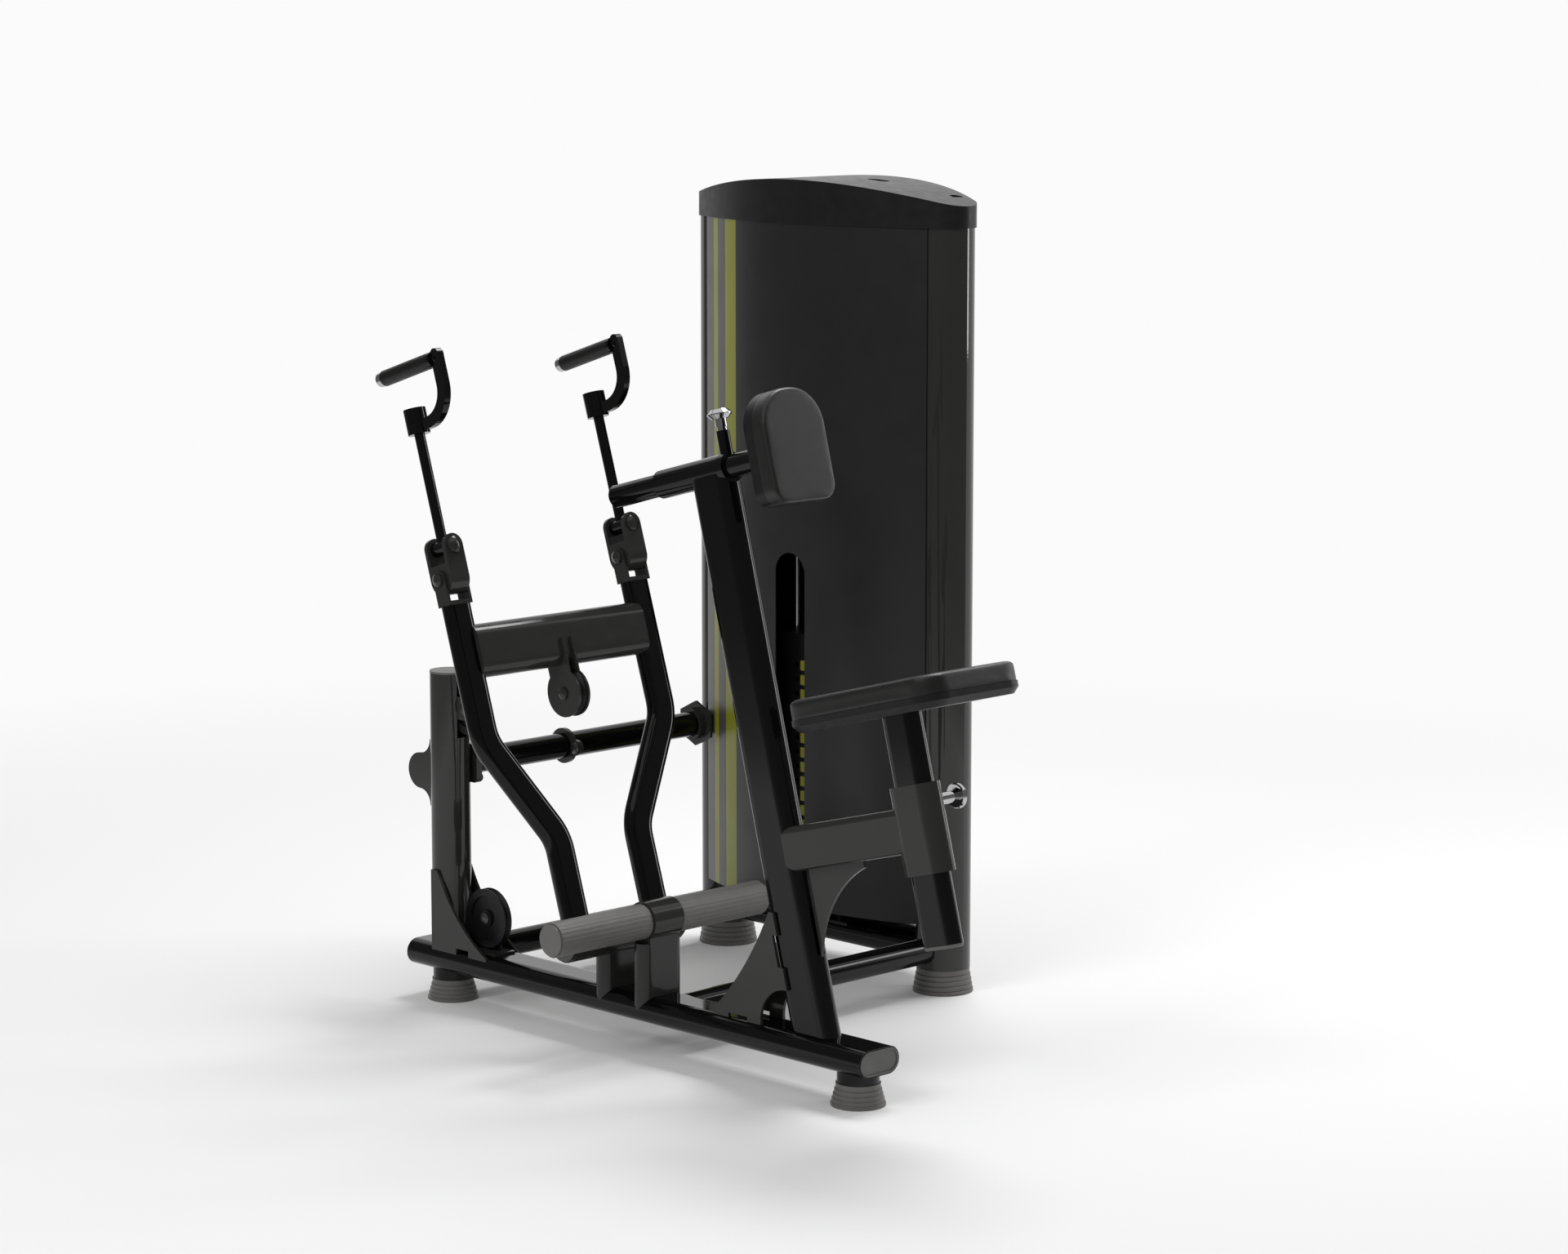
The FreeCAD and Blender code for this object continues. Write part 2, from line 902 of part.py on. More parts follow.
def upright_web(name, near):
    """Gusset beside the upright's foot: hollow slope, round opening and weld notches."""
    top_z = S.web_top_z
    beam_top = S.beam_level + S.oval_thin / 2
    toe_z = beam_top + S.web_toe_tall
    centre_x, centre_z = arc_centre(
        S.web_top_x, top_z, S.web_toe_x, toe_z, S.web_radius
    )
    centre_x = S.web_top_x + S.web_toe_x - centre_x
    centre_z = top_z + toe_z - centre_z
    low = S.beam_level
    hole_low_x = S.web_hole_x - root(
        S.web_hole_radius * S.web_hole_radius
        - (S.web_hole_z - low) * (S.web_hole_z - low)
    )
    hole_top_z = S.web_hole_z + S.web_hole_radius
    hole_top_x = S.web_hole_x
    notch_low = beam_top + S.web_notch_low
    notch_high = notch_low + S.web_notch_long
    notch_x = S.web_toe_x + S.notch_long
    notch_end = notch_x + S.notch_long + S.web_notch_deep
    steps = [
        line(S.web_toe_x, low),
        line(notch_x, low),
        line(notch_x, beam_top + S.notch_tall),
        line(notch_end, beam_top + S.notch_tall),
        line(notch_end, low),
        line(hole_low_x, low),
        arc(hole_top_x, hole_top_z, S.web_hole_x, S.web_hole_z, -1),
        line(web_edge(hole_top_z), hole_top_z),
        line(web_edge(notch_low), notch_low),
        line(web_edge(notch_low) - S.web_notch_deep, notch_low),
        line(web_edge(notch_high) - S.web_notch_deep, notch_high),
        line(web_edge(notch_high), notch_high),
        line(web_edge(top_z), top_z),
        line(S.web_top_x, top_z),
        arc(S.web_toe_x, toe_z, centre_x, centre_z, -1),
    ]
    return extrude(name, "XZ", [steps], near, near + S.plate_thick)


knee_top = S.seat_beam_level - S.seat_beam_tall / 2
knee_end = S.oval_wide / 2 + S.knee_long
knee_start = S.oval_wide / 2 - S.plate_thick / 2
knee_low = knee_top - S.knee_deep
knee_centre_x, knee_centre_z = arc_centre(
    knee_end, knee_top - S.knee_toe, S.oval_wide / 2, knee_low, S.knee_radius
)
knee_steps = [
    line(knee_start, knee_low),
    line(S.oval_wide / 2, knee_low),
    arc(knee_end, knee_top - S.knee_toe, knee_centre_x, knee_centre_z, -1),
    line(knee_end, knee_top),
    line(knee_start, knee_top),
]


def upright_bar(name, low=ZERO):
    """The leaning flat oval of the upright, in its own frame."""
    loop = flat_oval(ZERO, ZERO, S.oval_wide, S.oval_thin)
    return extrude(name, "XY", [loop], low, S.upright_long)


knee_plate = with_upright(
    cut(
        "KneePlate",
        extrude("KneeWeb", "XZ", [knee_steps], -S.plate_thick / 2, S.plate_thick / 2),
        upright_bar("UprightInKnee"),
    )
)
post_side = S.post_radius
flank = S.oval_thin / 2
webs = fuse(
    "WebPlates",
    rear_gusset("RearGussetNear", -post_side - S.plate_thick),
    rear_gusset("RearGussetFar", post_side),
    upright_web("UprightWebNear", -flank - S.plate_thick),
    upright_web("UprightWebFar", flank),
)
webs_on_beam = cut(
    "WebsOnBeam",
    webs,
    beam_bar("BeamUnderWebs"),
    rod("CrossInWebs", "Y", S.pipe_radius, ZERO, S.tower_y, x=S.cross_x, z=S.cross_level),
)
node("gusset_plates", group("GussetPlates", webs_on_beam, bell_tab, knee_plate))

# Main upright, coped on the beam below and under the chest sleeve above
upright_slots = [
    box(
        "FrontSlot",
        S.oval_wide / 2 - S.upright_slot_deep,
        S.oval_wide / 2 + S.cut_over,
        -S.upright_slot_wide / 2,
        S.upright_slot_wide / 2,
        S.front_slot_low,
        S.front_slot_low + S.front_slot_long,
    ),
    box(
        "RearSlot",
        -S.oval_wide / 2 - S.cut_over,
        S.upright_slot_deep - S.oval_wide / 2,
        -S.upright_slot_wide / 2,
        S.upright_slot_wide / 2,
        S.rear_slot_low,
        S.rear_slot_low + S.rear_slot_long,
    ),
]
sleeve_tools = [
    rod(
        "SleeveOnUpright",
        "X",
        S.chest_sleeve_radius,
        -S.oval_wide,
        S.oval_wide,
        z=S.chest_level,
    ),
    rod(
        "CollarOnUpright",
        "X",
        S.chest_collar_radius,
        S.chest_boss_x - S.chest_collar_long / 2,
        S.oval_wide,
        z=S.chest_level,
    ),
]
upright_raw = with_upright(
    cut(
        "UprightSlotted",
        upright_bar("UprightBar", -S.upright_root),
        *upright_slots,
        *sleeve_tools,
    )
)
node("main_upright", cut("Upright", upright_raw, beam_bar("BeamUnderUpright")))

# Chest sleeve with the boss of its pop pin
chest_boss_top = S.chest_level + S.chest_boss_tall
sleeve_tube = rod(
    "ChestSleeveTube",
    "X",
    S.chest_sleeve_radius,
    -S.chest_sleeve_rear,
    S.chest_sleeve_front,
    z=S.chest_level,
)
chest_collar = rod(
    "ChestCollar",
    "X",
    S.chest_collar_radius,
    S.chest_boss_x - S.chest_collar_long / 2,
    S.chest_boss_x + S.chest_collar_long / 2,
    z=S.chest_level,
)
chest_boss = rod(
    "ChestBoss",
    "Z",
    S.chest_boss_radius,
    S.chest_level,
    chest_boss_top - S.chest_knob_tall - S.pin_plunge,
    x=S.chest_boss_x,
)
chest_sleeve = cut(
    "ChestSleeve",
    fuse("ChestSleeveWelded", sleeve_tube, chest_collar, chest_boss),
    rod(
        "ChestBore",
        "X",
        S.chest_radius + S.seat_gap,
        -S.chest_sleeve_rear - S.cut_over,
        S.chest_sleeve_front + S.cut_over,
        z=S.chest_level,
    ),
    rod(
        "ChestPinBore",
        "Z",
        S.pin_stem_radius + S.seat_gap,
        S.chest_level,
        chest_boss_top,
        x=S.chest_boss_x,
    ),
)
node("chest_sleeve", with_upright(chest_sleeve))


# Seat beam and sleeve
def seat_oval(name, wide, thin, low, high):
    loop = flat_oval(S.seat_axis, ZERO, wide, thin)
    return extrude(name, "XY", [loop], low, high)


sleeve_low = S.seat_beam_level - S.sleeve_down
sleeve_high = S.seat_beam_level + S.sleeve_up
beam_half = S.seat_beam_tall / 2
seat_beam_loop = rounded(
    -flank,
    flank,
    S.seat_beam_level - beam_half,
    S.seat_beam_level + beam_half,
    S.seat_beam_corner,
    S.seat_beam_corner,
)
seat_beam = cut(
    "SeatBeam",
    extrude("SeatBeamBar", "YZ", [seat_beam_loop], ZERO, S.seat_axis),
    upright_bar("UprightInBeam"),
    seat_oval("SleeveInBeam", S.sleeve_wide, S.sleeve_thin, sleeve_low, sleeve_high),
)
node("seat_beam", with_upright(seat_beam))

pin_level = S.seat_beam_level + S.pin_above
sleeve_face = S.sleeve_thin / 2
seat_boss = rod(
    "SeatPinBoss",
    "Y",
    S.pin_boss_radius,
    ZERO,
    sleeve_face + S.pin_boss_long,
    x=S.seat_axis,
    z=pin_level,
)
seat_sleeve = cut(
    "SeatSleeve",
    fuse(
        "SeatSleeveWelded",
        seat_oval("SeatSleeveTube", S.sleeve_wide, S.sleeve_thin, sleeve_low, sleeve_high),
        seat_boss,
    ),
    seat_oval(
        "SeatBore",
        S.seat_post_wide + S.seat_gap * 2,
        S.seat_post_thin + S.seat_gap * 2,
        sleeve_low - S.cut_over,
        sleeve_high + S.cut_over,
    ),
    rod(
        "SeatPinBore",
        "Y",
        S.pin_stem_radius + S.seat_gap,
        ZERO,
        sleeve_face + S.pin_boss_long + S.cut_over,
        x=S.seat_axis,
        z=pin_level,
    ),
)
node("seat_sleeve", with_upright(seat_sleeve))

# Seat post, with its row of detent holes, and its domed plug
PLUG_LEVEL_SHARES = (0.0, 0.3, 0.7, 1.0)
PLUG_INSET_SHARES = (1.4, 0.55, 0.14, 0.0)
seat_under = S.seat_plane - S.cushion_thick - S.base_thick
post_face = S.seat_post_thin / 2
detents = [
    rod(
        f"SeatDetent{number}",
        "Y",
        S.pin_stem_radius + S.seat_gap,
        post_face - S.detent_deep,
        post_face + S.cut_over,
        x=S.seat_axis,
        z=pin_level + S.detent_pitch * number,
    )
    for number in (-3, -2, -1, 0)
]
seat_post = cut(
    "SeatPost",
    seat_oval(
        "SeatPostBar",
        S.seat_post_wide,
        S.seat_post_thin,
        S.seat_post_low + S.seat_post_light,
        seat_under,
    ),
    *detents,
)
node("seat_post", with_upright(seat_post))
seat_post_plug = loft(
    "SeatPostPlug",
    "XY",
    [
        (
            S.seat_post_low + S.seat_post_light * level,
            flat_oval(
                S.seat_axis,
                ZERO,
                S.seat_post_wide - S.plug_deep * inset,
                S.seat_post_thin - S.plug_deep * inset,
            ),
        )
        for level, inset in zip(PLUG_LEVEL_SHARES, PLUG_INSET_SHARES)
    ],
)
node("seat_post_plug", with_upright(seat_post_plug))

# Seat: moulded base and crowned cushion
SEAT_LEVEL_SHARES = (0.0, 0.12, 0.42, 0.72, 0.9, 0.975, 1.0)
SEAT_INSET_SHARES = (0.10, 0.02, 0.0, 0.04, 0.17, 0.42, 0.80)


def seat_loop(inset):
    middle = S.seat_axis + S.seat_ahead
    half_long = S.seat_long / 2 - inset
    half_wide = S.seat_wide / 2 - inset
    corner = S.seat_corner - inset
    return rounded(
        middle - half_long, middle + half_long, -half_wide, half_wide, corner, corner
    )


def cushion(name, plane, outline, low, thick, radius):
    """Loft with drawn-in foot, full sides and a crown; radius bounds the insets."""
    sections = [
        (low + thick * level, outline(radius * inset))
        for level, inset in zip(SEAT_LEVEL_SHARES, SEAT_INSET_SHARES)
    ]
    return loft(name, plane, sections)


base_top = S.seat_plane - S.cushion_thick
seat_base_sections = [
    (seat_under, seat_loop(S.board_lip * 4)),
    (seat_under + S.base_thick / 2, seat_loop(-S.board_lip)),
    (base_top, seat_loop(-S.board_lip)),
]
seat_base = doc.addObject("PartDesign::Body", "SeatBase")
seat_base_sketches = [
    new_sketch(seat_base, f"SeatBaseSection{number}", "XY", [loop], level)
    for number, (level, loop) in enumerate(seat_base_sections)
]
seat_base_loft = seat_base.newObject("PartDesign::AdditiveLoft", "SeatBaseLoft")
seat_base_loft.Profile = seat_base_sketches[0]
seat_base_loft.Sections = seat_base_sketches[1:]
seat_base_loft.Ruled = True
node("seat_base", with_upright(seat_base))
seat_pad = cushion(
    "SeatPad",
    "XY",
    seat_loop,
    base_top + S.seat_gap,
    S.cushion_thick - S.seat_gap,
    S.seat_corner,
)
node("seat_pad", with_upright(seat_pad))


# Seat pin: stem, neck with two rings and a domed knob
pin_shoulder = sleeve_face + S.pin_boss_long + S.pin_plunge + S.seat_gap
knob_back = sleeve_face + S.pin_reach - S.pin_knob_thick / 2
knob_rim = knob_back + S.pin_knob_thick
dome_radius = (S.pin_knob_radius * S.pin_knob_radius + S.pin_dome * S.pin_dome) / (S.pin_dome * 2)
ring_radius = S.pin_neck_radius + S.pin_ring
seat_pin_steps = [
    line(ZERO, post_face + S.seat_gap),
    line(S.pin_stem_radius, post_face + S.seat_gap),
    line(S.pin_stem_radius, pin_shoulder),
    line(S.pin_neck_radius, pin_shoulder),
    line(S.pin_neck_radius, knob_back - S.pin_ring * 4),
    line(ring_radius, knob_back - S.pin_ring * 4),
    line(ring_radius, knob_back - S.pin_ring * 2),
    line(ring_radius + S.pin_ring, knob_back - S.pin_ring * 2),
    line(ring_radius + S.pin_ring, knob_back),
    line(S.pin_knob_radius - S.pin_ring, knob_back),
    line(S.pin_knob_radius, knob_back + S.pin_ring),
    line(S.pin_knob_radius, knob_rim),
    arc(ZERO, knob_rim + S.pin_dome, ZERO, knob_rim + S.pin_dome - dome_radius, 1),
]
seat_pin = move(revolve("SeatPin", "Y", seat_pin_steps), S.seat_axis, ZERO, pin_level)
node("seat_pin", with_upright(group("SeatPinSet", seat_pin)))

# Foot-rest post, bar, rollers
rest_loop = tall_oval(S.rest_post_x, ZERO, S.stub_post_thin, S.oval_wide)
saddle_neck = S.stub_post_thin / 2
saddle_rise = root(S.saddle_radius * S.saddle_radius - saddle_neck * saddle_neck)
saddle_loop = [
    line(saddle_neck, -saddle_rise),
    arc(-saddle_neck, -saddle_rise, ZERO, ZERO, 1),
    line(-saddle_neck, -S.saddle_radius - S.saddle_drop),
    line(saddle_neck, -S.saddle_radius - S.saddle_drop),
]
saddle = move(
    extrude("Saddle", "XZ", [saddle_loop], -S.saddle_half, S.saddle_half),
    S.rest_bar_x,
    ZERO,
    S.rest_bar_z,
)
rest_bar = rod(
    "RestBar",
    "Y",
    S.rest_bar_radius,
    -S.roller_end + S.plug_deep,
    S.roller_end - S.plug_deep,
    x=S.rest_bar_x,
    z=S.rest_bar_z,
)
saddle_low = S.rest_bar_z - S.saddle_radius - S.saddle_drop
node(
    "foot_rest_post",
    cut(
        "RestPost",
        extrude("RestPostBar", "XY", [rest_loop], S.beam_level, saddle_low),
        beam_bar("BeamUnderRest"),
    ),
)
node("foot_rest_bar", fuse("FootRestBar", saddle, rest_bar))


def flute_loop():
    """Roller section: a circle scalloped by shallow flutes."""
    steps = []
    outer = S.roller_radius
    turn = sized(360) / FLUTES
    for flute in range(FLUTES):
        land = turn * (flute + 0.45)
        end = turn * (flute + 1)
        low = (land + end) / 2
        steps += [
            arc(outer * cosine(land), outer * sine(land), ZERO, ZERO, 1),
            line((outer - S.flute_deep) * cosine(low), (outer - S.flute_deep) * sine(low)),
            line(outer * cosine(end), outer * sine(end)),
        ]
    return steps


def roller(name, low, high):
    loops = [flute_loop(), ring(ZERO, ZERO, S.rest_bar_radius + S.run_fit)]
    return move(extrude(name, "XZ", loops, low, high), S.rest_bar_x, ZERO, S.rest_bar_z)


def roller_end(name, low, high):
    return rod(name, "Y", S.roller_radius - S.plug_rim, low, high, x=S.rest_bar_x, z=S.rest_bar_z)


roller_start = S.roller_start
bar_end = S.roller_end - S.plug_deep
foot_rollers = group(
    "FootRollers",
    fuse(
        "NearRoller",
        roller("NearSleeve", -bar_end, -roller_start),
        roller_end("NearEnd", -S.roller_end, -bar_end),
    ),
    fuse(
        "FarRoller",
        roller("FarSleeve", roller_start, bar_end),
        roller_end("FarEnd", bar_end, S.roller_end),
    ),
)
node("foot_rollers", foot_rollers)

# Pivot post, housing and shaft
pivot_loop = tall_oval(S.pivot_x, ZERO, S.stub_post_thin, S.oval_wide)
housing_half = S.housing_long / 2
pivot_post = cut(
    "PivotPost",
    fuse(
        "PivotPostWelded",
        extrude("PivotPostBar", "XY", [pivot_loop], S.beam_level, S.pivot_z),
        rod(
            "PivotHousing",
            "Y",
            S.housing_radius,
            -housing_half,
            housing_half,
            x=S.pivot_x,
            z=S.pivot_z,
        ),
    ),
    beam_bar("BeamUnderPivot"),
    rod(
        "PivotBore",
        "Y",
        S.shaft_radius,
        -housing_half - S.cut_over,
        housing_half + S.cut_over,
        x=S.pivot_x,
        z=S.pivot_z,
    ),
)
node("pivot_post", pivot_post)
hub_end = S.hub_start + S.hub_long
shaft_end = hub_end + S.seat_gap
pivot_shaft = fuse(
    "PivotShaft",
    rod("PivotRod", "Y", S.shaft_radius, -shaft_end, shaft_end, x=S.pivot_x, z=S.pivot_z),
    rod(
        "ShaftCapNear",
        "Y",
        S.hub_radius - S.plug_rim,
        -shaft_end - S.shaft_cap,
        -shaft_end,
        x=S.pivot_x,
        z=S.pivot_z,
    ),
    rod(
        "ShaftCapFar",
        "Y",
        S.hub_radius - S.plug_rim,
        shaft_end,
        shaft_end + S.shaft_cap,
        x=S.pivot_x,
        z=S.pivot_z,
    ),
)
node("pivot_shaft", pivot_shaft)

# Swinging arm, in its own leaning frame with the pivot at its origin
hubs = [
    cut(
        f"ArmHub{number}",
        rod(f"HubBlank{number}", "Y", S.hub_radius, low, high),
        rod(
            f"HubBore{number}",
            "Y",
            S.shaft_radius + S.run_fit,
            low - S.cut_over,
            high + S.cut_over,
        ),
    )
    for number, (low, high) in enumerate(
        ((-hub_end, -S.hub_start), (S.hub_start, hub_end))
    )
]
node("arm_hubs", with_arm(group("ArmHubs", *hubs)))


def arm_tube(name, side):
    """Flat-oval tube swept along two straight runs and a slanted one, bent with even radii."""
    narrow = side * S.arm_narrow_y
    broad = side * S.arm_broad_y
    slant_y = S.arm_broad_y - S.arm_narrow_y
    slant_z = S.arm_bend_high - S.arm_bend_low
    slant = root(slant_y * slant_y + slant_z * slant_z)
    cos_turn = slant_z / slant
    half_tan = (sized(1) - cos_turn) / (slant_y / slant)
    setback = S.arm_bend_radius * half_tan
    leave_y = setback * (slant_y / slant)
    leave_z = setback * cos_turn
    body = doc.addObject("PartDesign::Body", name)
    start = S.hub_radius / 2
    profile = new_sketch(
        body,
        name + "Section",
        "XY",
        [tall_oval(ZERO, narrow, S.arm_thin, S.arm_wide)],
        start,
    )
    path = body.newObject("Sketcher::SketchObject", name + "Path")
    support = [f for f in body.Origin.OriginFeatures if f.Role == "YZ_Plane"][0]
    path.AttachmentSupport = [(support, "")]
    path.MapMode = "FlatFace"
    low = S.arm_bend_low
    high = S.arm_bend_high
    points = [
        (narrow, start),
        (narrow, low - setback),
        (narrow + side * leave_y, low + leave_z),
        (broad - side * leave_y, high - leave_z),
        (broad, high + setback),
        (broad, S.arm_long),
    ]
    spots = [Vector(y.value, z.value, 0) for y, z in points]
    radius = S.arm_bend_radius
    centres = [
        (narrow + side * radius, low - setback),
        (broad - side * radius, high + setback),
    ]
    middles = [Vector(y.value, z.value, 0) for y, z in centres]

    def bend(centre, first, last):
        circle = Part.Circle(centre, Vector(0, 0, 1), radius.value)
        angles = [math.atan2(p.y - centre.y, p.x - centre.x) for p in (first, last)]
        clockwise = (first - centre).cross(last - centre).z < 0
        if clockwise:
            angles.reverse()
        return Part.ArcOfCircle(circle, *angles), clockwise

    shapes = [(Part.LineSegment(spots[0], spots[1]), False)]
    shapes.append(bend(middles[0], spots[1], spots[2]))
    shapes.append((Part.LineSegment(spots[2], spots[3]), False))
    shapes.append(bend(middles[1], spots[3], spots[4]))
    shapes.append((Part.LineSegment(spots[4], spots[5]), False))
    drawn = []
    for shape, backwards in shapes:
        drawn.append((path.addGeometry(shape), 2 if backwards else 1, 1 if backwards else 2))
    fix(path, drawn[0][0], drawn[0][1], *points[0])
    for place, (number, begin, finish) in enumerate(drawn):
        fix(path, number, finish, *points[place + 1])
        if place + 1 < len(drawn):
            following = drawn[place + 1]
            path.addConstraint(
                Sketcher.Constraint("Coincident", number, finish, following[0], following[1])
            )
    for place, (y, z) in zip((1, 3), centres):
        fix(path, drawn[place][0], 3, y, None)
    sweep = body.newObject("PartDesign::AdditivePipe", name + "Sweep")
    sweep.Profile = profile
    sweep.Spine = path
    return body


def hub_tool(name, side):
    low, high = (S.hub_start, hub_end) if side > 0 else (-hub_end, -S.hub_start)
    return rod(name, "Y", S.hub_radius, low - S.cut_over, high + S.cut_over)


for label, side in (("left_arm_tube", -1), ("right_arm_tube", 1)):
    title = label.title().replace("_", "")
    tube = cut(title + "Coped", arm_tube(title, side), hub_tool(title + "Hub", side))
    node(label, with_arm(tube))

# Crossbar between the arm tubes
bar_half = S.arm_broad_y - S.arm_wide / 2
bar_loop = tall_oval(ZERO, S.bar_level, S.bar_thin, S.bar_tall)
arm_crossbar = cut(
    "CrossbarCoped",
    extrude("Crossbar", "XZ", [bar_loop], -S.arm_broad_y, S.arm_broad_y),
    *[
        extrude(
            f"TubeInBar{number}",
            "XY",
            [tall_oval(ZERO, side * S.arm_broad_y, S.arm_thin, S.arm_wide)],
            S.bar_level - S.bar_tall,
            S.bar_level + S.bar_tall,
        )
        for number, side in enumerate((-1, 1))
    ],
    *[
        box(
            f"BarEnd{number}",
            -S.bar_thin,
            S.bar_thin,
            near,
            far,
            S.bar_level - S.bar_tall,
            S.bar_level + S.bar_tall,
        )
        for number, (near, far) in enumerate(
            (
                (-S.arm_broad_y - S.arm_wide, -S.arm_broad_y),
                (S.arm_broad_y, S.arm_broad_y + S.arm_wide),
            )
        )
    ],
)
bar_trim = box(
    "BarTrim",
    -S.bar_thin,
    S.bar_thin,
    -bar_half - S.arm_thin / 2,
    bar_half + S.arm_thin / 2,
    S.bar_level - S.bar_tall,
    S.bar_level + S.bar_tall,
)
node("arm_crossbar", with_arm(common("CrossbarTrimmed", arm_crossbar, bar_trim)))

# Pulley bracket under the crossbar: two round cheeks with tabs, and the axle bolt
cheek_gap = S.pulley_hub_long / 2 + S.seat_gap
tab_half = S.cheek_tab / 2
tab_rise = root(S.cheek_radius * S.cheek_radius - tab_half * tab_half)
pulley_x = S.arm_pulley_ahead
cheek_top = S.bar_level
cheek_loop = [
    line(pulley_x + tab_half, cheek_top),
    line(pulley_x - tab_half, cheek_top),
    line(pulley_x - tab_half, S.arm_pulley_level + tab_rise),
    arc(
        pulley_x + tab_half,
        S.arm_pulley_level + tab_rise,
        pulley_x,
        S.arm_pulley_level,
        1,
    ),
]
cheeks = [
    extrude(f"Cheek{number}", "XZ", [cheek_loop], low, low + S.cheek_thick)
    for number, low in enumerate((-cheek_gap - S.cheek_thick, cheek_gap))
]
cheek_outer = cheek_gap + S.cheek_thick
arm_axle = dome_bolt(
    "ArmPulleyAxle",
    "Y",
    S.axle_radius,
    S.bolt_head_radius,
    S.bolt_head_tall,
    -cheek_outer,
    cheek_outer,
    x=pulley_x,
    z=S.arm_pulley_level,
)
arm_bracket = cut(
    "BracketCoped",
    fuse("BracketWelded", *cheeks, arm_axle),
    extrude("BarInBracket", "XZ", [bar_loop], -S.arm_broad_y, S.arm_broad_y),
)
node("arm_pulley_bracket", with_arm(arm_bracket))
arm_pulley = pulley(
    "ArmPulley",
    S.arm_pulley_radius,
    pulley_x,
    ZERO,
    S.arm_pulley_level,
    S.axle_radius + S.run_fit,
)
node("arm_pulley", with_arm(group("ArmPulleyHung", arm_pulley)))


# Clevises on the arm tubes
clevis_bolt_level = S.arm_long + S.clevis_bolt_rise
knuckle_slot_low = S.arm_long + S.knuckle_slot_rise
knuckle_bolt_level = S.arm_long + S.knuckle_bolt_rise
handle_level = S.arm_long + S.handle_rise


def clevis(name, side):
    """Welded web with two rounded legs and the lower joint bolt."""
    middle = side * S.arm_broad_y
    half = S.clevis_span / 2
    inner = half - S.clevis_leg
    web_top = S.arm_long + S.clevis_web
    web = box(
        name + "Web",
        -S.clevis_wide / 2,
        S.clevis_wide / 2,
        middle - half,
        middle + half,
        S.arm_long,
        web_top,
    )
    round_half = S.clevis_wide / 2
    leg_loop = [
        line(round_half, S.arm_long),
        line(round_half, clevis_bolt_level),
        arc(-round_half, clevis_bolt_level, ZERO, clevis_bolt_level, 1),
        line(-round_half, S.arm_long),
    ]
    legs = [
        extrude(f"{name}Leg{number}", "XZ", [leg_loop], low, low + S.clevis_leg)
        for number, low in enumerate((middle - half, middle + inner))
    ]
    bolt = dome_bolt(
        name + "Bolt",
        "Y",
        S.joint_bolt_radius,
        S.bolt_head_radius,
        S.joint_head_tall,
        -half,
        half,
        y=middle,
        z=clevis_bolt_level,
    )
    return fuse(name, web, *legs, bolt)


clevises = group("ArmClevises", clevis("NearClevis", -1), clevis("FarClevis", 1))
node("arm_clevises", with_arm(clevises))


# Knuckles, rods and handles
def knuckle(name, side):
    """Stirrup turning on the clevis bolt; its two ears carry the upper bolt square to it."""
    middle = side * S.arm_broad_y
    half = S.knuckle_thick / 2
    wide = S.knuckle_wide / 2
    inner = half - S.knuckle_leg
    side_loop = [
        line(half, knuckle_bolt_level + S.knuckle_ear_radius),
        line(inner, knuckle_bolt_level + S.knuckle_ear_radius),
        line(inner, knuckle_slot_low),
        line(-inner, knuckle_slot_low),
        line(-inner, knuckle_bolt_level + S.knuckle_ear_radius),
        line(-half, knuckle_bolt_level + S.knuckle_ear_radius),
        line(-half, clevis_bolt_level),
        arc(half, clevis_bolt_level, ZERO, clevis_bolt_level, 1),
    ]
    blank = extrude(
        name + "Side",
        "XZ",
        [side_loop, ring(ZERO, clevis_bolt_level, S.joint_bolt_radius + S.run_fit)],
        middle - wide,
        middle + wide,
    )
    low = clevis_bolt_level - S.knuckle_thick
    ear = S.knuckle_ear_radius
    front_loop = [
        line(middle + ear, low),
        line(middle + ear, knuckle_bolt_level),
        arc(middle - ear, knuckle_bolt_level, middle, knuckle_bolt_level, 1),
        line(middle - ear, low),
    ]
    front = extrude(name + "Front", "YZ", [front_loop], -half, half)
    stirrup = common(name + "Stirrup", blank, front)
    bolt = dome_bolt(
        name + "Bolt",
        "X",
        S.joint_bolt_radius,
        S.joint_head_radius,
        S.joint_head_tall,
        -half,
        half,
        y=middle,
        z=knuckle_bolt_level,
    )
    return fuse(name, stirrup, bolt)


def handle_rod(name, side):
    """Rod with a cross bush on the upper bolt."""
    middle = side * S.arm_broad_y
    half = S.knuckle_thick / 2 - S.knuckle_leg - S.seat_gap
    bush = rod(name + "Bush", "X", S.bush_radius, -half, half, y=middle, z=knuckle_bolt_level)
    hub_roof = handle_level + S.handle_hub_tall / 2 - S.handle_hub_roof
    stem = rod(name + "Stem", "Z", S.rod_radius, knuckle_bolt_level, hub_roof, y=middle)
    bore = rod(
        name + "Bore",
        "X",
        S.joint_bolt_radius + S.run_fit,
        -half - S.cut_over,
        half + S.cut_over,
        y=middle,
        z=knuckle_bolt_level,
    )
    return cut(name, fuse(name + "Welded", bush, stem), bore)


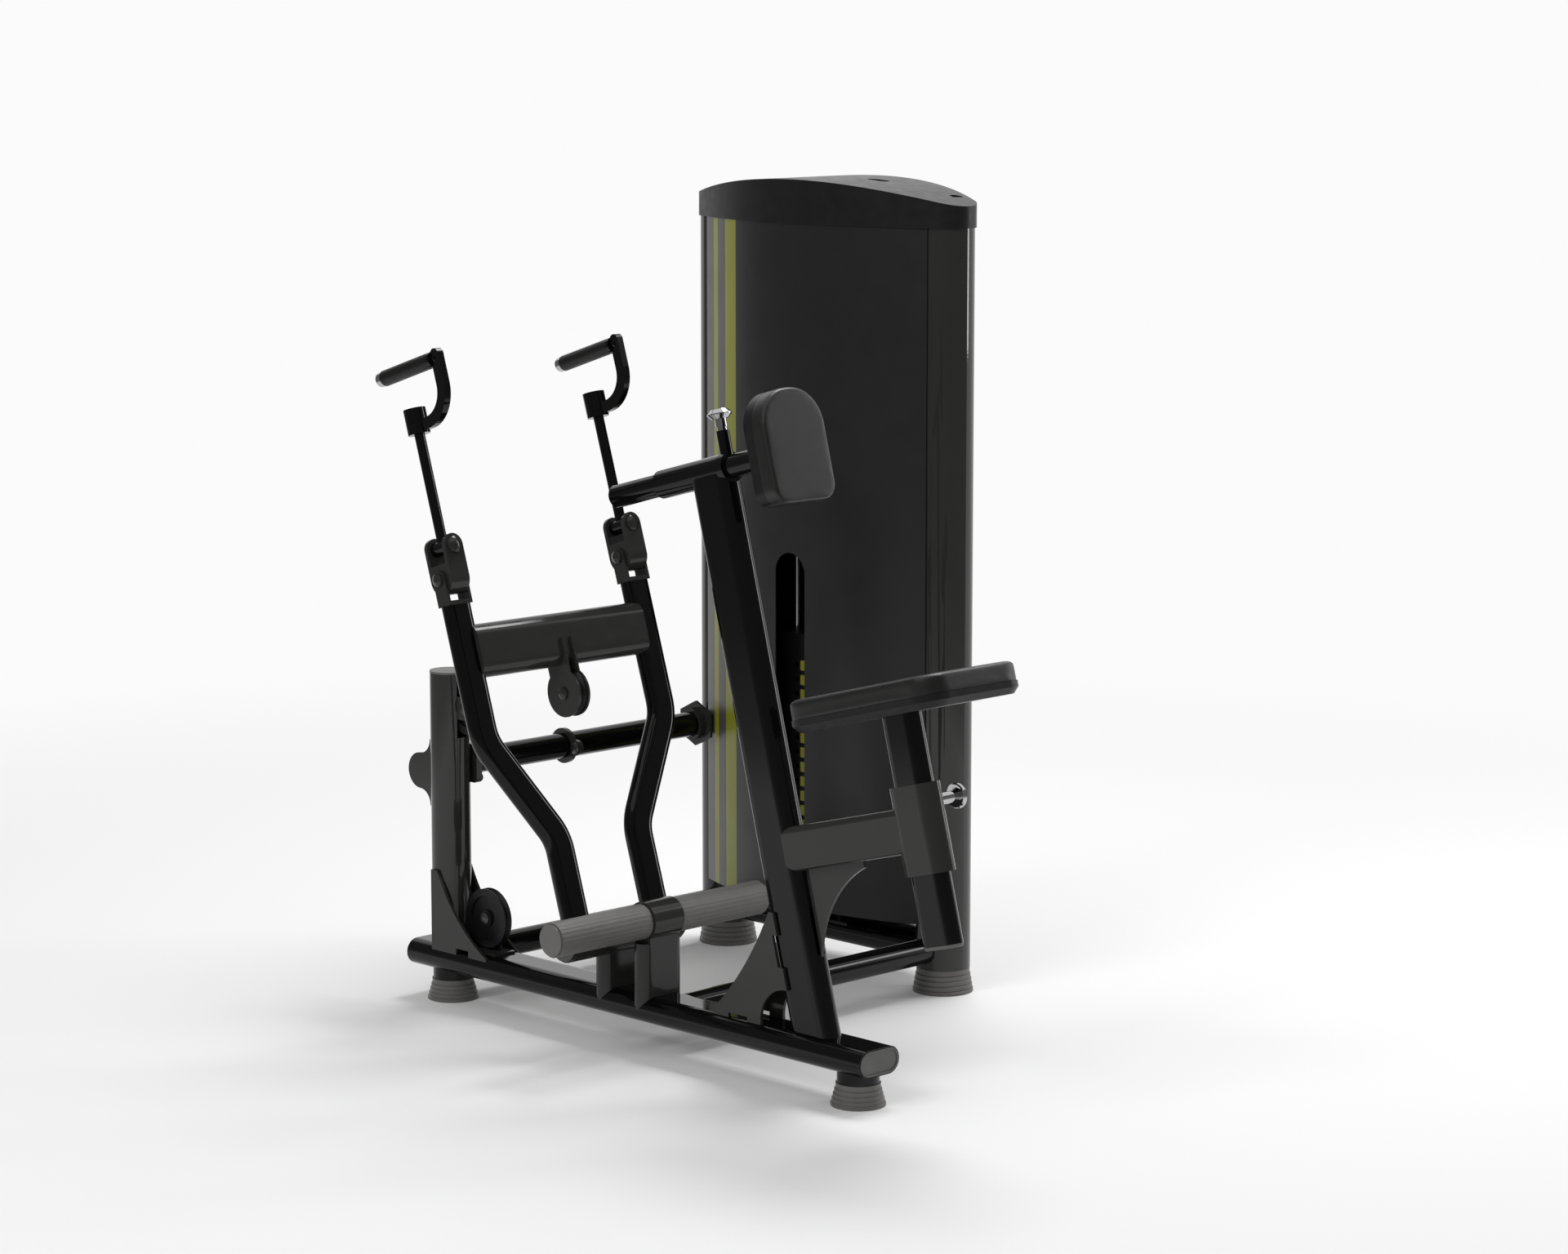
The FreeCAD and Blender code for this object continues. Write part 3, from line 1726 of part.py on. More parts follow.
bow_out = S.bow_straight + S.bow_radius
bow_half = S.bow_wide / 2
bow_low = -S.bow_drop
bow_centre_z = S.bow_radius - S.bow_drop
bow_high = S.grip_level + S.grip_collar
bow_loop = [
    line(S.bow_straight, bow_low - bow_half),
    arc(bow_out + bow_half, bow_centre_z, S.bow_straight, bow_centre_z, 1),
    line(bow_out + bow_half, bow_high),
    arc(bow_out - bow_half, bow_high, bow_out, bow_high, 1),
    line(bow_out - bow_half, bow_centre_z),
    arc(S.bow_straight, bow_low + bow_half, S.bow_straight, bow_centre_z, -1),
    line(ZERO, bow_low + bow_half),
    line(ZERO, bow_low - bow_half),
]


def handle(name, side):
    """Hub over the rod's end, bow bar and the inner bar of the grip, in the hub's frame."""
    half = S.handle_hub_tall / 2
    bow = extrude(name + "Bow", "XZ", [bow_loop], -S.bow_thick / 2, S.bow_thick / 2)
    hub = rod(name + "Hub", "Z", S.handle_hub_radius, -half, half)
    bar = rod(
        name + "Bar",
        "X",
        S.grip_bar_radius,
        -S.grip_rear,
        bow_out,
        z=S.grip_level,
    )
    collar = rod(
        name + "Collar",
        "X",
        S.grip_radius,
        S.grip_front,
        S.grip_front + S.grip_collar,
        z=S.grip_level,
    )
    bore = rod(
        name + "Bore",
        "Z",
        S.rod_radius + S.run_fit,
        -half - S.cut_over,
        half - S.handle_hub_roof + S.seat_gap,
    )
    made = cut(name, fuse(name + "Welded", bow, hub, bar, collar), bore)
    return move(made, ZERO, side * S.arm_broad_y, handle_level)


def grip(name, side):
    sleeve = cut(
        name,
        rod(name + "Tube", "X", S.grip_radius, -S.grip_rear, S.grip_front, z=S.grip_level),
        rod(
            name + "Bore",
            "X",
            S.grip_bar_radius,
            -S.grip_rear - S.cut_over,
            S.grip_front + S.cut_over,
            z=S.grip_level,
        ),
    )
    return move(sleeve, ZERO, side * S.arm_broad_y, handle_level)


def grip_cap(name, side):
    """Chrome cap with a rounded end."""
    far = -S.grip_rear - S.grip_cap_long
    edge = S.grip_cap_long / 5
    steps = [
        line(-S.grip_rear, ZERO),
        line(-S.grip_rear, S.grip_cap_radius),
        line(far + edge, S.grip_cap_radius),
        arc(far, S.grip_cap_radius - edge, far + edge, S.grip_cap_radius - edge, 1),
        line(far, ZERO),
    ]
    return move(
        revolve(name, "X", steps),
        ZERO,
        side * S.arm_broad_y,
        handle_level + S.grip_level,
    )


for word, side in (("left", -1), ("right", 1)):
    title = word.title()
    node(f"{word}_knuckle", with_arm(knuckle(title + "Knuckle", side)))
    node(f"{word}_rod", with_arm(handle_rod(title + "Rod", side)))
    node(f"{word}_handle", with_arm(group(title + "HandleSet", handle(title + "Handle", side))))
    node(f"{word}_grip", with_arm(group(title + "GripSet", grip(title + "Grip", side))))
    node(f"{word}_grip_cap", with_arm(group(title + "CapSet", grip_cap(title + "Cap", side))))

# Cross tubes to the tower
def tower_post_bar(name, x, extra=ZERO):
    return rod(
        name,
        "Z",
        S.tower_post_radius + extra,
        S.tower_foot_tall,
        S.tower_top,
        x=x,
        y=S.tower_y,
    )


def tower_oval(name, level):
    loop = flat_oval(S.tower_y, level, S.oval_wide, S.oval_thin)
    return extrude(name, "YZ", [loop], S.tower_x, tower_front_x)


rear_cross = cut(
    "RearCross",
    rod("RearCrossBar", "Y", S.pipe_radius, ZERO, S.tower_y, x=S.cross_x, z=S.cross_level),
    beam_bar("BeamInRearCross"),
    rod("RearStubInCross", "Z", S.stub_radius, ZERO, S.beam_level),
    rod("RearPostInCross", "Z", S.post_radius, S.beam_level, S.post_top),
    tower_post_bar("TowerPostInCross", S.tower_x),
    tower_oval("TowerBeamInCross", S.cross_level),
)
front_cross = cut(
    "FrontCross",
    rod(
        "FrontCrossBar",
        "Y",
        S.pipe_radius,
        ZERO,
        S.tower_y,
        x=S.front_cross_x,
        z=S.cross_level,
    ),
    beam_bar("BeamInFrontCross"),
    tower_post_bar("FrontPostInCross", tower_front_x),
    tower_oval("BeamInFrontPostCross", S.cross_level),
)
node("cross_tubes", group("CrossTubes", rear_cross, front_cross))
flange_out = S.post_radius + S.flange_thick
diamond_end = S.diamond_y + S.plate_thick
upper_cross = cut(
    "UpperCross",
    rod(
        "UpperCrossBar",
        "Y",
        S.pipe_radius,
        flange_out,
        S.tower_y,
        x=S.cross_x,
        z=S.upper_cross_level,
    ),
    tower_post_bar("PostInUpperCross", S.tower_x),
)
node("upper_cross_tube", upper_cross)

# Flanges, clamp and diamond plate of the upper cross tube
half_flange = S.flange_wide / 2
flange_loop = rounded(
    -half_flange,
    half_flange,
    S.upper_cross_level - S.flange_tall / 2,
    S.upper_cross_level + S.flange_tall / 2,
    S.flange_corner,
    S.flange_corner,
)
post_flange = cut(
    "PostFlange",
    extrude(
        "PostFlangePlate",
        "XZ",
        [flange_loop],
        S.post_radius - S.flange_thick / 2,
        flange_out,
    ),
    rod("PostInFlange", "Z", S.post_radius, S.beam_level, post_body_top),
)
diamond_loop = [
    line(S.cross_x + S.diamond_half, S.upper_cross_level - S.diamond_side),
    line(S.cross_x + S.diamond_half, S.upper_cross_level + S.diamond_side),
    line(S.cross_x, S.upper_cross_level + S.diamond_tall),
    line(S.cross_x - S.diamond_half, S.upper_cross_level + S.diamond_side),
    line(S.cross_x - S.diamond_half, S.upper_cross_level - S.diamond_side),
    line(S.cross_x, S.upper_cross_level - S.diamond_tall),
]
tube_ring = ring(S.cross_x, S.upper_cross_level, S.pipe_radius)
diamond = extrude("Diamond", "XZ", [diamond_loop, tube_ring], S.diamond_y, diamond_end)
collar = extrude(
    "TubeCollar",
    "XZ",
    [ring(S.cross_x, S.upper_cross_level, S.collar_radius), tube_ring],
    S.diamond_y - S.collar_long,
    S.diamond_y,
)
lug_x = S.cross_x + S.clamp_lug
lug_low = S.upper_cross_level - S.clamp_lug_radius
lug_high = S.upper_cross_level + S.clamp_lug_radius
lug_loop = [
    line(lug_x, lug_low),
    arc(lug_x, lug_high, lug_x, S.upper_cross_level, 1),
    line(S.cross_x, lug_high),
    line(S.cross_x, lug_low),
]
clamp_low = S.clamp_y
clamp_high = S.clamp_y + S.clamp_thick
clamp = cut(
    "TubeClamp",
    fuse(
        "ClampBlank",
        extrude(
            "ClampRing",
            "XZ",
            [ring(S.cross_x, S.upper_cross_level, S.clamp_radius)],
            clamp_low,
            clamp_high,
        ),
        extrude("ClampLug", "XZ", [lug_loop], clamp_low, clamp_high),
    ),
    rod(
        "TubeInClamp",
        "Y",
        S.pipe_radius,
        clamp_low - S.cut_over,
        clamp_high + S.cut_over,
        x=S.cross_x,
        z=S.upper_cross_level,
    ),
    rod(
        "LugBore",
        "Y",
        S.bolt_radius,
        clamp_low - S.cut_over,
        clamp_high + S.cut_over,
        x=lug_x,
        z=S.upper_cross_level,
    ),
)


# Brackets of the frame's pulleys
def ear(name, x, z, reach, low):
    """Rounded plate from the post to a pulley's axle."""
    half = S.bracket_half
    steps = [
        line(x, z - half),
        arc(x, z + half, x, z, 1),
        line(x - reach, z + half),
        line(x - reach, z - half),
    ]
    return extrude(name, "XZ", [steps], low, low + S.cheek_thick)


post_ears = cut(
    "PostEars",
    fuse(
        "PostEarPair",
        ear("EarNear", S.post_pulley_x, S.post_pulley_z, S.post_pulley_x, -cheek_outer),
        ear("EarFar", S.post_pulley_x, S.post_pulley_z, S.post_pulley_x, cheek_gap),
    ),
    rod("PostInEars", "Z", S.post_radius, S.beam_level, post_body_top),
    rod(
        "EarBore",
        "Y",
        S.axle_radius,
        -cheek_outer - S.cut_over,
        cheek_outer + S.cut_over,
        x=S.post_pulley_x,
        z=S.post_pulley_z,
    ),
)
beam_top = S.beam_level + S.oval_thin / 2
stand_loop = [
    line(S.base_pulley_x + S.bracket_half, beam_top),
    line(S.base_pulley_x + S.bracket_half, S.base_pulley_z),
    arc(
        S.base_pulley_x - S.bracket_half,
        S.base_pulley_z,
        S.base_pulley_x,
        S.base_pulley_z,
        1,
    ),
    line(S.base_pulley_x - S.bracket_half, beam_top),
]
base_stand = cut(
    "BaseStand",
    fuse(
        "BaseStandWelded",
        extrude("StandPlate", "XZ", [stand_loop], cheek_gap, cheek_outer),
        box(
            "StandFoot",
            S.base_pulley_x - S.bracket_foot_long / 2,
            S.base_pulley_x + S.bracket_foot_long,
            -S.oval_thin / 2,
            S.oval_thin / 2,
            beam_top,
            beam_top + S.cheek_thick,
        ),
    ),
    rod(
        "StandBore",
        "Y",
        S.axle_radius,
        ZERO,
        cheek_outer + S.cut_over,
        x=S.base_pulley_x,
        z=S.base_pulley_z,
    ),
)
node(
    "tube_flanges",
    group("TubeFlanges", post_flange, diamond, collar, clamp, post_ears, base_stand),
)


# Bolts of the frame
def head_bolt(name, axis, low, high, x=ZERO, y=ZERO, z=ZERO, radius=None):
    return dome_bolt(
        name,
        axis,
        radius or S.bolt_radius,
        S.bolt_head_radius,
        S.bolt_head_tall,
        low,
        high,
        x=x,
        y=y,
        z=z,
    )


def flat_bolt(name, x, z, low, high):
    """Dome head only, seated on a plate that faces the tower."""
    edge = S.bolt_head_tall / 2
    dome = (S.flange_head_radius * S.flange_head_radius + edge * edge) / (edge * 2)
    steps = [
        line(ZERO, low),
        line(S.flange_head_radius, low),
        line(S.flange_head_radius, low + edge),
        arc(ZERO, high, ZERO, high - dome, 1),
    ]
    return move(revolve(name, "Y", steps), x, ZERO, z)


flange_bolts = [
    flat_bolt(
        f"FlangeBolt{number}",
        side_x * S.flange_bolt_x,
        S.upper_cross_level + side_z * S.flange_bolt_z,
        flange_out,
        flange_out + S.bolt_head_tall,
    )
    for number, (side_x, side_z) in enumerate(((-1, -1), (1, -1), (1, 1), (-1, 1)))
]
frame_bolts = [
    *flange_bolts,
    head_bolt("ClampBolt", "Y", clamp_low, clamp_high, x=lug_x, z=S.upper_cross_level),
    head_bolt(
        "PostAxle",
        "Y",
        -cheek_outer,
        cheek_outer,
        x=S.post_pulley_x,
        z=S.post_pulley_z,
        radius=S.axle_radius,
    ),
    head_bolt(
        "BaseAxle",
        "Y",
        -S.pulley_hub_long / 2 - S.seat_gap,
        cheek_outer,
        x=S.base_pulley_x,
        z=S.base_pulley_z,
        radius=S.axle_radius,
    ),
]
node("frame_bolts", group("FrameBolts", *frame_bolts))
for label, radius, x, z in (
    ("post_pulley", S.post_pulley_radius, S.post_pulley_x, S.post_pulley_z),
    ("base_pulley", S.base_pulley_radius, S.base_pulley_x, S.base_pulley_z),
):
    title = label.title().replace("_", "")
    node(label, pulley(title, radius, x, ZERO, z, S.axle_radius + S.run_fit))

# Tower: posts, base and head beams
node(
    "tower_posts",
    group(
        "TowerPosts",
        tower_post_bar("TowerPostRear", S.tower_x),
        tower_post_bar("TowerPostFront", tower_front_x),
    ),
)


def tower_beam(name, level, tools=()):
    return cut(
        name,
        tower_oval(name + "Bar", level),
        tower_post_bar(name + "PostRear", S.tower_x),
        tower_post_bar(name + "PostFront", tower_front_x),
        *tools,
    )


head_level = S.tower_top - S.head_drop
top_pulley_z = S.tower_top - S.top_pulley_drop
guide_places = (S.stack_x - S.rod_offset, S.stack_x + S.rod_offset)
base_beam_top = S.cross_level + S.oval_thin / 2
head_low = head_level - S.oval_thin / 2


def saddle_box(name, low, high):
    """Cross plate that carries the guide rods in front of a tower beam's axis."""
    half = S.plate_wide / 2
    return box(
        name,
        S.stack_x - half,
        S.stack_x + half,
        S.stack_y - S.plate_deep / 2,
        S.stack_y + S.plate_deep / 2,
        low,
        high,
    )


base_shelf = saddle_box("BaseShelf", base_beam_top, base_beam_top + S.plate_thick)
head_shelf = saddle_box("HeadShelf", head_low - S.plate_thick, head_low)
node("tower_base_beam", fuse("TowerBase", tower_beam("TowerBaseBeam", S.cross_level), base_shelf))
hanger_half = S.pulley_hub_long / 2 + S.seat_gap
hanger_outer = hanger_half + S.cheek_thick


def hanger(name, low):
    """Cheek of the top pulley, hung from the head shelf."""
    half = S.bracket_half
    steps = [
        line(S.stack_x + half, head_low - S.plate_thick),
        line(S.stack_x - half, head_low - S.plate_thick),
        line(S.stack_x - half, top_pulley_z),
        arc(S.stack_x + half, top_pulley_z, S.stack_x, top_pulley_z, 1),
    ]
    return move(extrude(name, "XZ", [steps], low, low + S.cheek_thick), ZERO, S.stack_y, ZERO)


top_axle = dome_bolt(
    "TopAxle",
    "Y",
    S.axle_radius,
    S.bolt_head_radius,
    S.bolt_head_tall,
    -hanger_outer,
    hanger_outer,
    x=S.stack_x,
    y=S.stack_y,
    z=top_pulley_z,
)
tower_head = fuse(
    "TowerHead",
    tower_beam("TowerHeadBeam", head_level),
    head_shelf,
    hanger("HangerNear", -hanger_outer),
    hanger("HangerFar", hanger_half),
    top_axle,
)
node("tower_head_beam", tower_head)
top_pulley = pulley(
    "TopPulley",
    S.top_pulley_radius,
    S.stack_x,
    S.stack_y,
    top_pulley_z,
    S.axle_radius + S.run_fit,
)
node("top_pulley", top_pulley)

# Guide rods and the rubber buffers under the stack
rod_low = base_beam_top + S.plate_thick
rod_high = head_low - S.plate_thick
node(
    "guide_rods",
    group(
        "GuideRods",
        *[
            rod(f"GuideRod{n}", "Z", S.guide_radius, rod_low, rod_high, x=x, y=S.stack_y)
            for n, x in enumerate(guide_places)
        ],
    ),
)
node(
    "stack_buffers",
    group(
        "StackBuffers",
        *[
            cut(
                f"Buffer{n}",
                rod(f"BufferBlank{n}", "Z", S.buffer_radius, rod_low, S.stack_low, x=x, y=S.stack_y),
                rod(f"BufferBore{n}", "Z", S.guide_radius, rod_low, S.stack_low, x=x, y=S.stack_y),
            )
            for n, x in enumerate(guide_places)
        ],
    ),
)

# Tower panels: thin arcs between the posts
chord = S.tower_span
panel_radius = (chord * chord / 4 + S.panel_bulge * S.panel_bulge) / (S.panel_bulge * 2)
panel_edge_y = S.tower_y - S.tower_post_radius - S.panel_thick
middle_x = S.tower_x + chord / 2
panel_centre_y = panel_edge_y - S.panel_bulge + panel_radius
inner_radius = panel_radius - S.panel_thick
inner_edge_y = panel_centre_y - root(inner_radius * inner_radius - chord * chord / 4)
panel_loop = [
    line(S.tower_x, panel_edge_y),
    arc(tower_front_x, panel_edge_y, middle_x, panel_centre_y, 1),
    line(tower_front_x, inner_edge_y),
    arc(S.tower_x, inner_edge_y, middle_x, panel_centre_y, -1),
]
slot_half = S.slot_wide / 2
slot_round = S.slot_high - slot_half
slot_foot = S.slot_low + slot_half
slot_steps = [
    line(S.slot_centre + slot_half, slot_round),
    arc(S.slot_centre - slot_half, slot_round, S.slot_centre, slot_round, 1),
    line(S.slot_centre - slot_half, slot_foot),
    arc(S.slot_centre + slot_half, slot_foot, S.slot_centre, slot_foot, 1),
]
panel_front = panel_edge_y - S.panel_bulge
panel_play = S.seat_gap * 2
front_panel = cut(
    "FrontPanel",
    extrude("FrontSheet", "XY", [panel_loop], S.panel_low, S.tower_top),
    extrude("SlotTool", "XZ", [slot_steps], panel_front - S.cut_over, S.tower_y),
    rod(
        "TubeNotch",
        "Y",
        S.pipe_radius + panel_play,
        panel_front - S.cut_over,
        S.tower_y,
        x=S.cross_x,
        z=S.upper_cross_level,
    ),
    rod(
        "FrontTubeNotch",
        "Y",
        S.pipe_radius + panel_play,
        panel_front - S.cut_over,
        S.tower_y,
        x=S.front_cross_x,
        z=S.cross_level,
    ),
    tower_post_bar("RearPostInPanel", S.tower_x, S.seat_gap),
    tower_post_bar("FrontPostInPanel", tower_front_x, S.seat_gap),
)
node("front_panel", front_panel)
mirror_y = S.tower_y * 2
back_loop = [
    line(tower_front_x, mirror_y - panel_edge_y),
    arc(S.tower_x, mirror_y - panel_edge_y, middle_x, mirror_y - panel_centre_y, 1),
    line(S.tower_x, mirror_y - inner_edge_y),
    arc(tower_front_x, mirror_y - inner_edge_y, middle_x, mirror_y - panel_centre_y, -1),
]
back_panel = cut(
    "BackPanel",
    extrude("BackSheet", "XY", [back_loop], S.panel_low, S.tower_top),
    tower_post_bar("RearPostInBack", S.tower_x, S.seat_gap),
    tower_post_bar("FrontPostInBack", tower_front_x, S.seat_gap),
)
node("back_panel", back_panel)


# Cap: a lens with round ends, crowned along the tower
def lens_loop(over):
    """Plan of the tower grown by a margin: two shallow arcs that run into round ends."""
    end = S.tower_post_radius + over
    deep = S.tower_y - panel_front + over
    side = (deep * deep + chord * chord / 4 - end * end) / ((deep - end) * 2)
    reach = side / (side - end)
    aside = chord / 2 * reach
    along = (side - deep) * reach
    near_centre = panel_front - over + side
    far_centre = mirror_y - near_centre
    return [
        arc(middle_x + aside, near_centre - along, middle_x, near_centre, 1),
        arc(middle_x + aside, far_centre + along, tower_front_x, S.tower_y, 1),
        arc(middle_x - aside, far_centre + along, middle_x, far_centre, 1),
        arc(middle_x - aside, near_centre - along, S.tower_x, S.tower_y, 1),
    ]


cap_low = S.tower_top - S.cap_skirt
cap_left = S.tower_x - S.tower_post_radius - S.cap_over
cap_right = tower_front_x + S.tower_post_radius + S.cap_over
cap_shoulder = S.tower_top + S.cap_end_tall
cap_top = S.tower_top + S.cap_crest
cap_rise = cap_top - cap_shoulder
cap_half = (cap_right - cap_left) / 2
cap_radius = (cap_half * cap_half + cap_rise * cap_rise) / (cap_rise * 2)
cap_over_y = S.cap_over * 4
crown_loop = [
    line(cap_left, cap_low),
    line(cap_right, cap_low),
    line(cap_right, cap_shoulder),
    arc(cap_left, cap_shoulder, middle_x, cap_top - cap_radius, 1),
]
cap_blank = common(
    "CapBlank",
    extrude("CapPlan", "XY", [lens_loop(S.cap_over)], cap_low, cap_top),
    extrude(
        "CapCrown",
        "XZ",
        [crown_loop],
        panel_front - cap_over_y,
        mirror_y - panel_front + cap_over_y,
    ),
)
hole_deep = S.tower_top + S.cap_core_tall - S.cut_over
tower_cap = cut(
    "TowerCap",
    cap_blank,
    extrude("CapRecess", "XY", [lens_loop(S.cap_fit)], cap_low - S.cut_over, S.tower_top),
    box(
        "CapCore",
        S.tower_x + S.cap_core_inset,
        tower_front_x - S.cap_core_inset,
        S.tower_y - S.cap_core_half,
        S.tower_y + S.cap_core_half,
        S.tower_top - S.cut_over,
        S.tower_top + S.cap_core_tall,
    ),
    extrude(
        "CapCableHole",
        "XY",
        [flat_oval(S.cap_hole_x, S.cap_hole_y, S.cap_hole_wide, S.cap_hole_thin)],
        hole_deep,
        cap_top + S.cut_over,
    ),
    rod(
        "CapPlugHole",
        "Z",
        S.cap_plug_radius,
        cap_top - S.cap_plug_deep,
        cap_top + S.cut_over,
        x=S.cap_plug_x,
        y=S.cap_plug_y,
    ),
)
node("tower_cap", tower_cap)

# Weight stack
plate_half_x = S.plate_wide / 2
plate_half_y = S.plate_deep / 2
stack_front = S.stack_y - plate_half_y
stack_top = S.stack_low + S.plate_pitch * (PLATES_LIFTED + PLATES_RESTING)


def stack_plate(name, number):
    """One weight plate, counted from the bottom."""
    low = S.stack_low + S.plate_pitch * number
    return box(
        name,
        S.stack_x - plate_half_x,
        S.stack_x + plate_half_x,
        stack_front,
        S.stack_y + plate_half_y,
        low,
        low + S.plate_pitch - S.plate_play,
    )


def stack_bores(name, low, high, play):
    """Tools that clear the guide rods and the selector stem."""
    tools = [
        rod(f"{name}Guide{n}", "Z", S.guide_radius + play, low, high, x=x, y=S.stack_y)
        for n, x in enumerate(guide_places)
    ]
    stem = rod(
        name + "Stem",
        "Z",
        S.stem_radius + S.guide_play,
        low,
        high,
        x=S.stack_x,
        y=S.stack_y,
    )
    return [*tools, stem]


def pin_bore(name, number):
    """Hole for the selector pin in the front of a plate."""
    level = S.stack_low + S.plate_pitch * number + (S.plate_pitch - S.plate_play) / 2
    return rod(
        name,
        "Y",
        S.selector_radius + S.seat_gap,
        stack_front - S.cut_over,
        S.stack_y,
        x=S.stack_x,
        z=level,
    )


def plate_pile(name, first, count):
    plates = group(name + "Pile", *[stack_plate(f"{name}{n}", first + n) for n in range(count)])
    low = S.stack_low - S.cut_over
    high = stack_top + S.cut_over
    holes = [pin_bore(f"{name}Pin{n}", first + n) for n in range(count)]
    tools = fuse(name + "Tools", *stack_bores(name, low, high, S.guide_play), *holes)
    return cut(name, plates, tools)


node("resting_plates", plate_pile("Resting", 0, PLATES_RESTING))
node("lifted_plates", plate_pile("Lifted", PLATES_RESTING, PLATES_LIFTED))
top_plate = cut(
    "TopPlate",
    box(
        "TopPlateBlank",
        S.stack_x - plate_half_x,
        S.stack_x + plate_half_x,
        stack_front,
        S.stack_y + plate_half_y,
        stack_top,
        stack_top + S.top_plate_tall,
    ),
    *[
        rod(
            f"TopPlateGuide{n}",
            "Z",
            S.guide_radius + S.run_fit * 2,
            stack_top - S.cut_over,
            stack_top + S.top_plate_tall + S.cut_over,
            x=x,
            y=S.stack_y,
        )
        for n, x in enumerate(guide_places)
    ],
)
node("top_plate", top_plate)
stem_low = S.stack_low + S.plate_pitch / 2
pin_plate = PLATES_RESTING
pin_height = S.stack_low + S.plate_pitch * pin_plate + (S.plate_pitch - S.plate_play) / 2
stem = cut(
    "SelectorStem",
    rod("StemBar", "Z", S.stem_radius, stem_low, stack_top, x=S.stack_x, y=S.stack_y),
    *[
        rod(
            f"StemHole{n}",
            "Y",
            S.selector_radius + S.seat_gap,
            S.stack_y - S.stem_radius - S.cut_over,
            S.stack_y + S.stem_radius + S.cut_over,
            x=S.stack_x,
            z=S.stack_low + S.plate_pitch * n + (S.plate_pitch - S.plate_play) / 2,
        )
        for n in range(1, PLATES_LIFTED + PLATES_RESTING)
    ],
)
stem_head = rod(
    "StemHead",
    "Z",
    S.stem_head_radius,
    stack_top + S.top_plate_tall,
    stack_top + S.top_plate_tall + S.stem_head_tall,
    x=S.stack_x,
    y=S.stack_y,
)
node("selector_stem", group("SelectorStemSet", stem, stem_head))
knob_face = stack_front - S.seat_gap
knob_far = knob_face - S.selector_knob_long
knob_edge = S.selector_knob_radius / 3
knob_round = S.selector_knob_radius - knob_edge
selector_steps = [
    line(ZERO, S.stack_y + S.stem_radius / 2),
    line(ZERO, knob_far),
    line(knob_round, knob_far),
    arc(S.selector_knob_radius, knob_far + knob_edge, knob_round, knob_far + knob_edge, 1),
    line(S.selector_knob_radius, knob_face),
    line(S.selector_radius, knob_face),
    line(S.selector_radius, S.stack_y + S.stem_radius / 2),
]
node("selector_pin", move(revolve("SelectorPin", "Y", selector_steps), S.stack_x, ZERO, pin_height))


# Chest support: tube, backing board, cushion and its pin
def chest_loop(inset):
    half = S.chest_wide / 2 - inset
    tall = S.chest_tall / 2 - inset
    middle = S.chest_level + S.chest_pad_up
    return rounded(
        -half,
        half,
        middle - tall,
        middle + tall,
        S.chest_corner - inset,
        S.chest_round - inset,
    )


chest_pad_back = S.chest_face - S.chest_thick
chest_board_back = chest_pad_back - S.chest_back
chest_detents = [
    rod(
        f"ChestDetent{number}",
        "Z",
        S.pin_stem_radius + S.seat_gap,
        S.chest_level + S.chest_radius - S.detent_deep,
        S.chest_level + S.chest_radius + S.cut_over,
        x=S.chest_boss_x + S.chest_pitch * number,
    )
    for number in (-3, -2, -1, 0)
]
chest_tube = cut(
    "ChestTube",
    rod("ChestTubeBar", "X", S.chest_radius, -S.chest_rear, chest_board_back, z=S.chest_level),
    *chest_detents,
)
node("chest_tube", with_upright(chest_tube))
chest_backing = extrude(
    "ChestBacking", "YZ", [chest_loop(S.board_lip / 2)], chest_board_back, chest_pad_back
)
node("chest_backing", with_upright(chest_backing))
chest_pad = cushion(
    "ChestPad",
    "YZ",
    chest_loop,
    chest_pad_back + S.seat_gap,
    S.chest_thick - S.seat_gap,
    S.chest_corner,
)
node("chest_pad", with_upright(chest_pad))
chest_tip = S.chest_level + S.chest_radius + S.seat_gap
chest_knob_low = chest_boss_top - S.chest_knob_tall + S.seat_gap
chest_knob_top = chest_knob_low + S.chest_knob_tall
bevel = S.chest_knob_radius / 3
knob_low = chest_knob_low + S.chest_knob_tall / 2 - S.pin_ring
head_top = chest_knob_top - S.pin_ring
chest_pin_steps = [
    line(S.pin_stem_radius, chest_tip),
    line(S.pin_stem_radius, chest_knob_low),
    line(S.pin_neck_radius, chest_knob_low),
    line(S.pin_neck_radius, knob_low),
    line(S.chest_knob_radius - bevel, knob_low),
    line(S.chest_knob_radius, knob_low + bevel),
    line(S.chest_knob_radius, head_top - bevel),
    line(S.chest_knob_radius - bevel, head_top),
    line(ZERO, chest_knob_top),
    line(ZERO, chest_tip),
]
chest_pin = move(revolve("ChestPin", "Z", chest_pin_steps), S.chest_boss_x, ZERO, ZERO)
node("chest_pin", with_upright(group("ChestPinSet", chest_pin)))


# Check and write
def main():
    doc.recompute()
    faults = []
    for item in doc.Objects:
        if "Invalid" in item.State or "Error" in item.State:
            faults.append(f"{item.Name}: {item.State}")
    for item in NODES:
        if item.Shape.isNull() or not item.Shape.isValid():
            faults.append(f"{item.Label}: its shape is null or not valid")
    if faults:
        raise RuntimeError("; ".join(faults))
    os.makedirs("parts", exist_ok=True)
    for item in NODES:
        item.Shape.exportStep(f"parts/{item.Label}.step")
        print(item.Label, len(item.Shape.Solids), round(item.Shape.Volume))
    print(len(NODES), "nodes")


main()
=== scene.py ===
"""Looks of a seated row machine: finishes, cushions and studio, laid out as an add-on."""

import json
import math

import bmesh
import bpy
from mathutils import Matrix, Vector


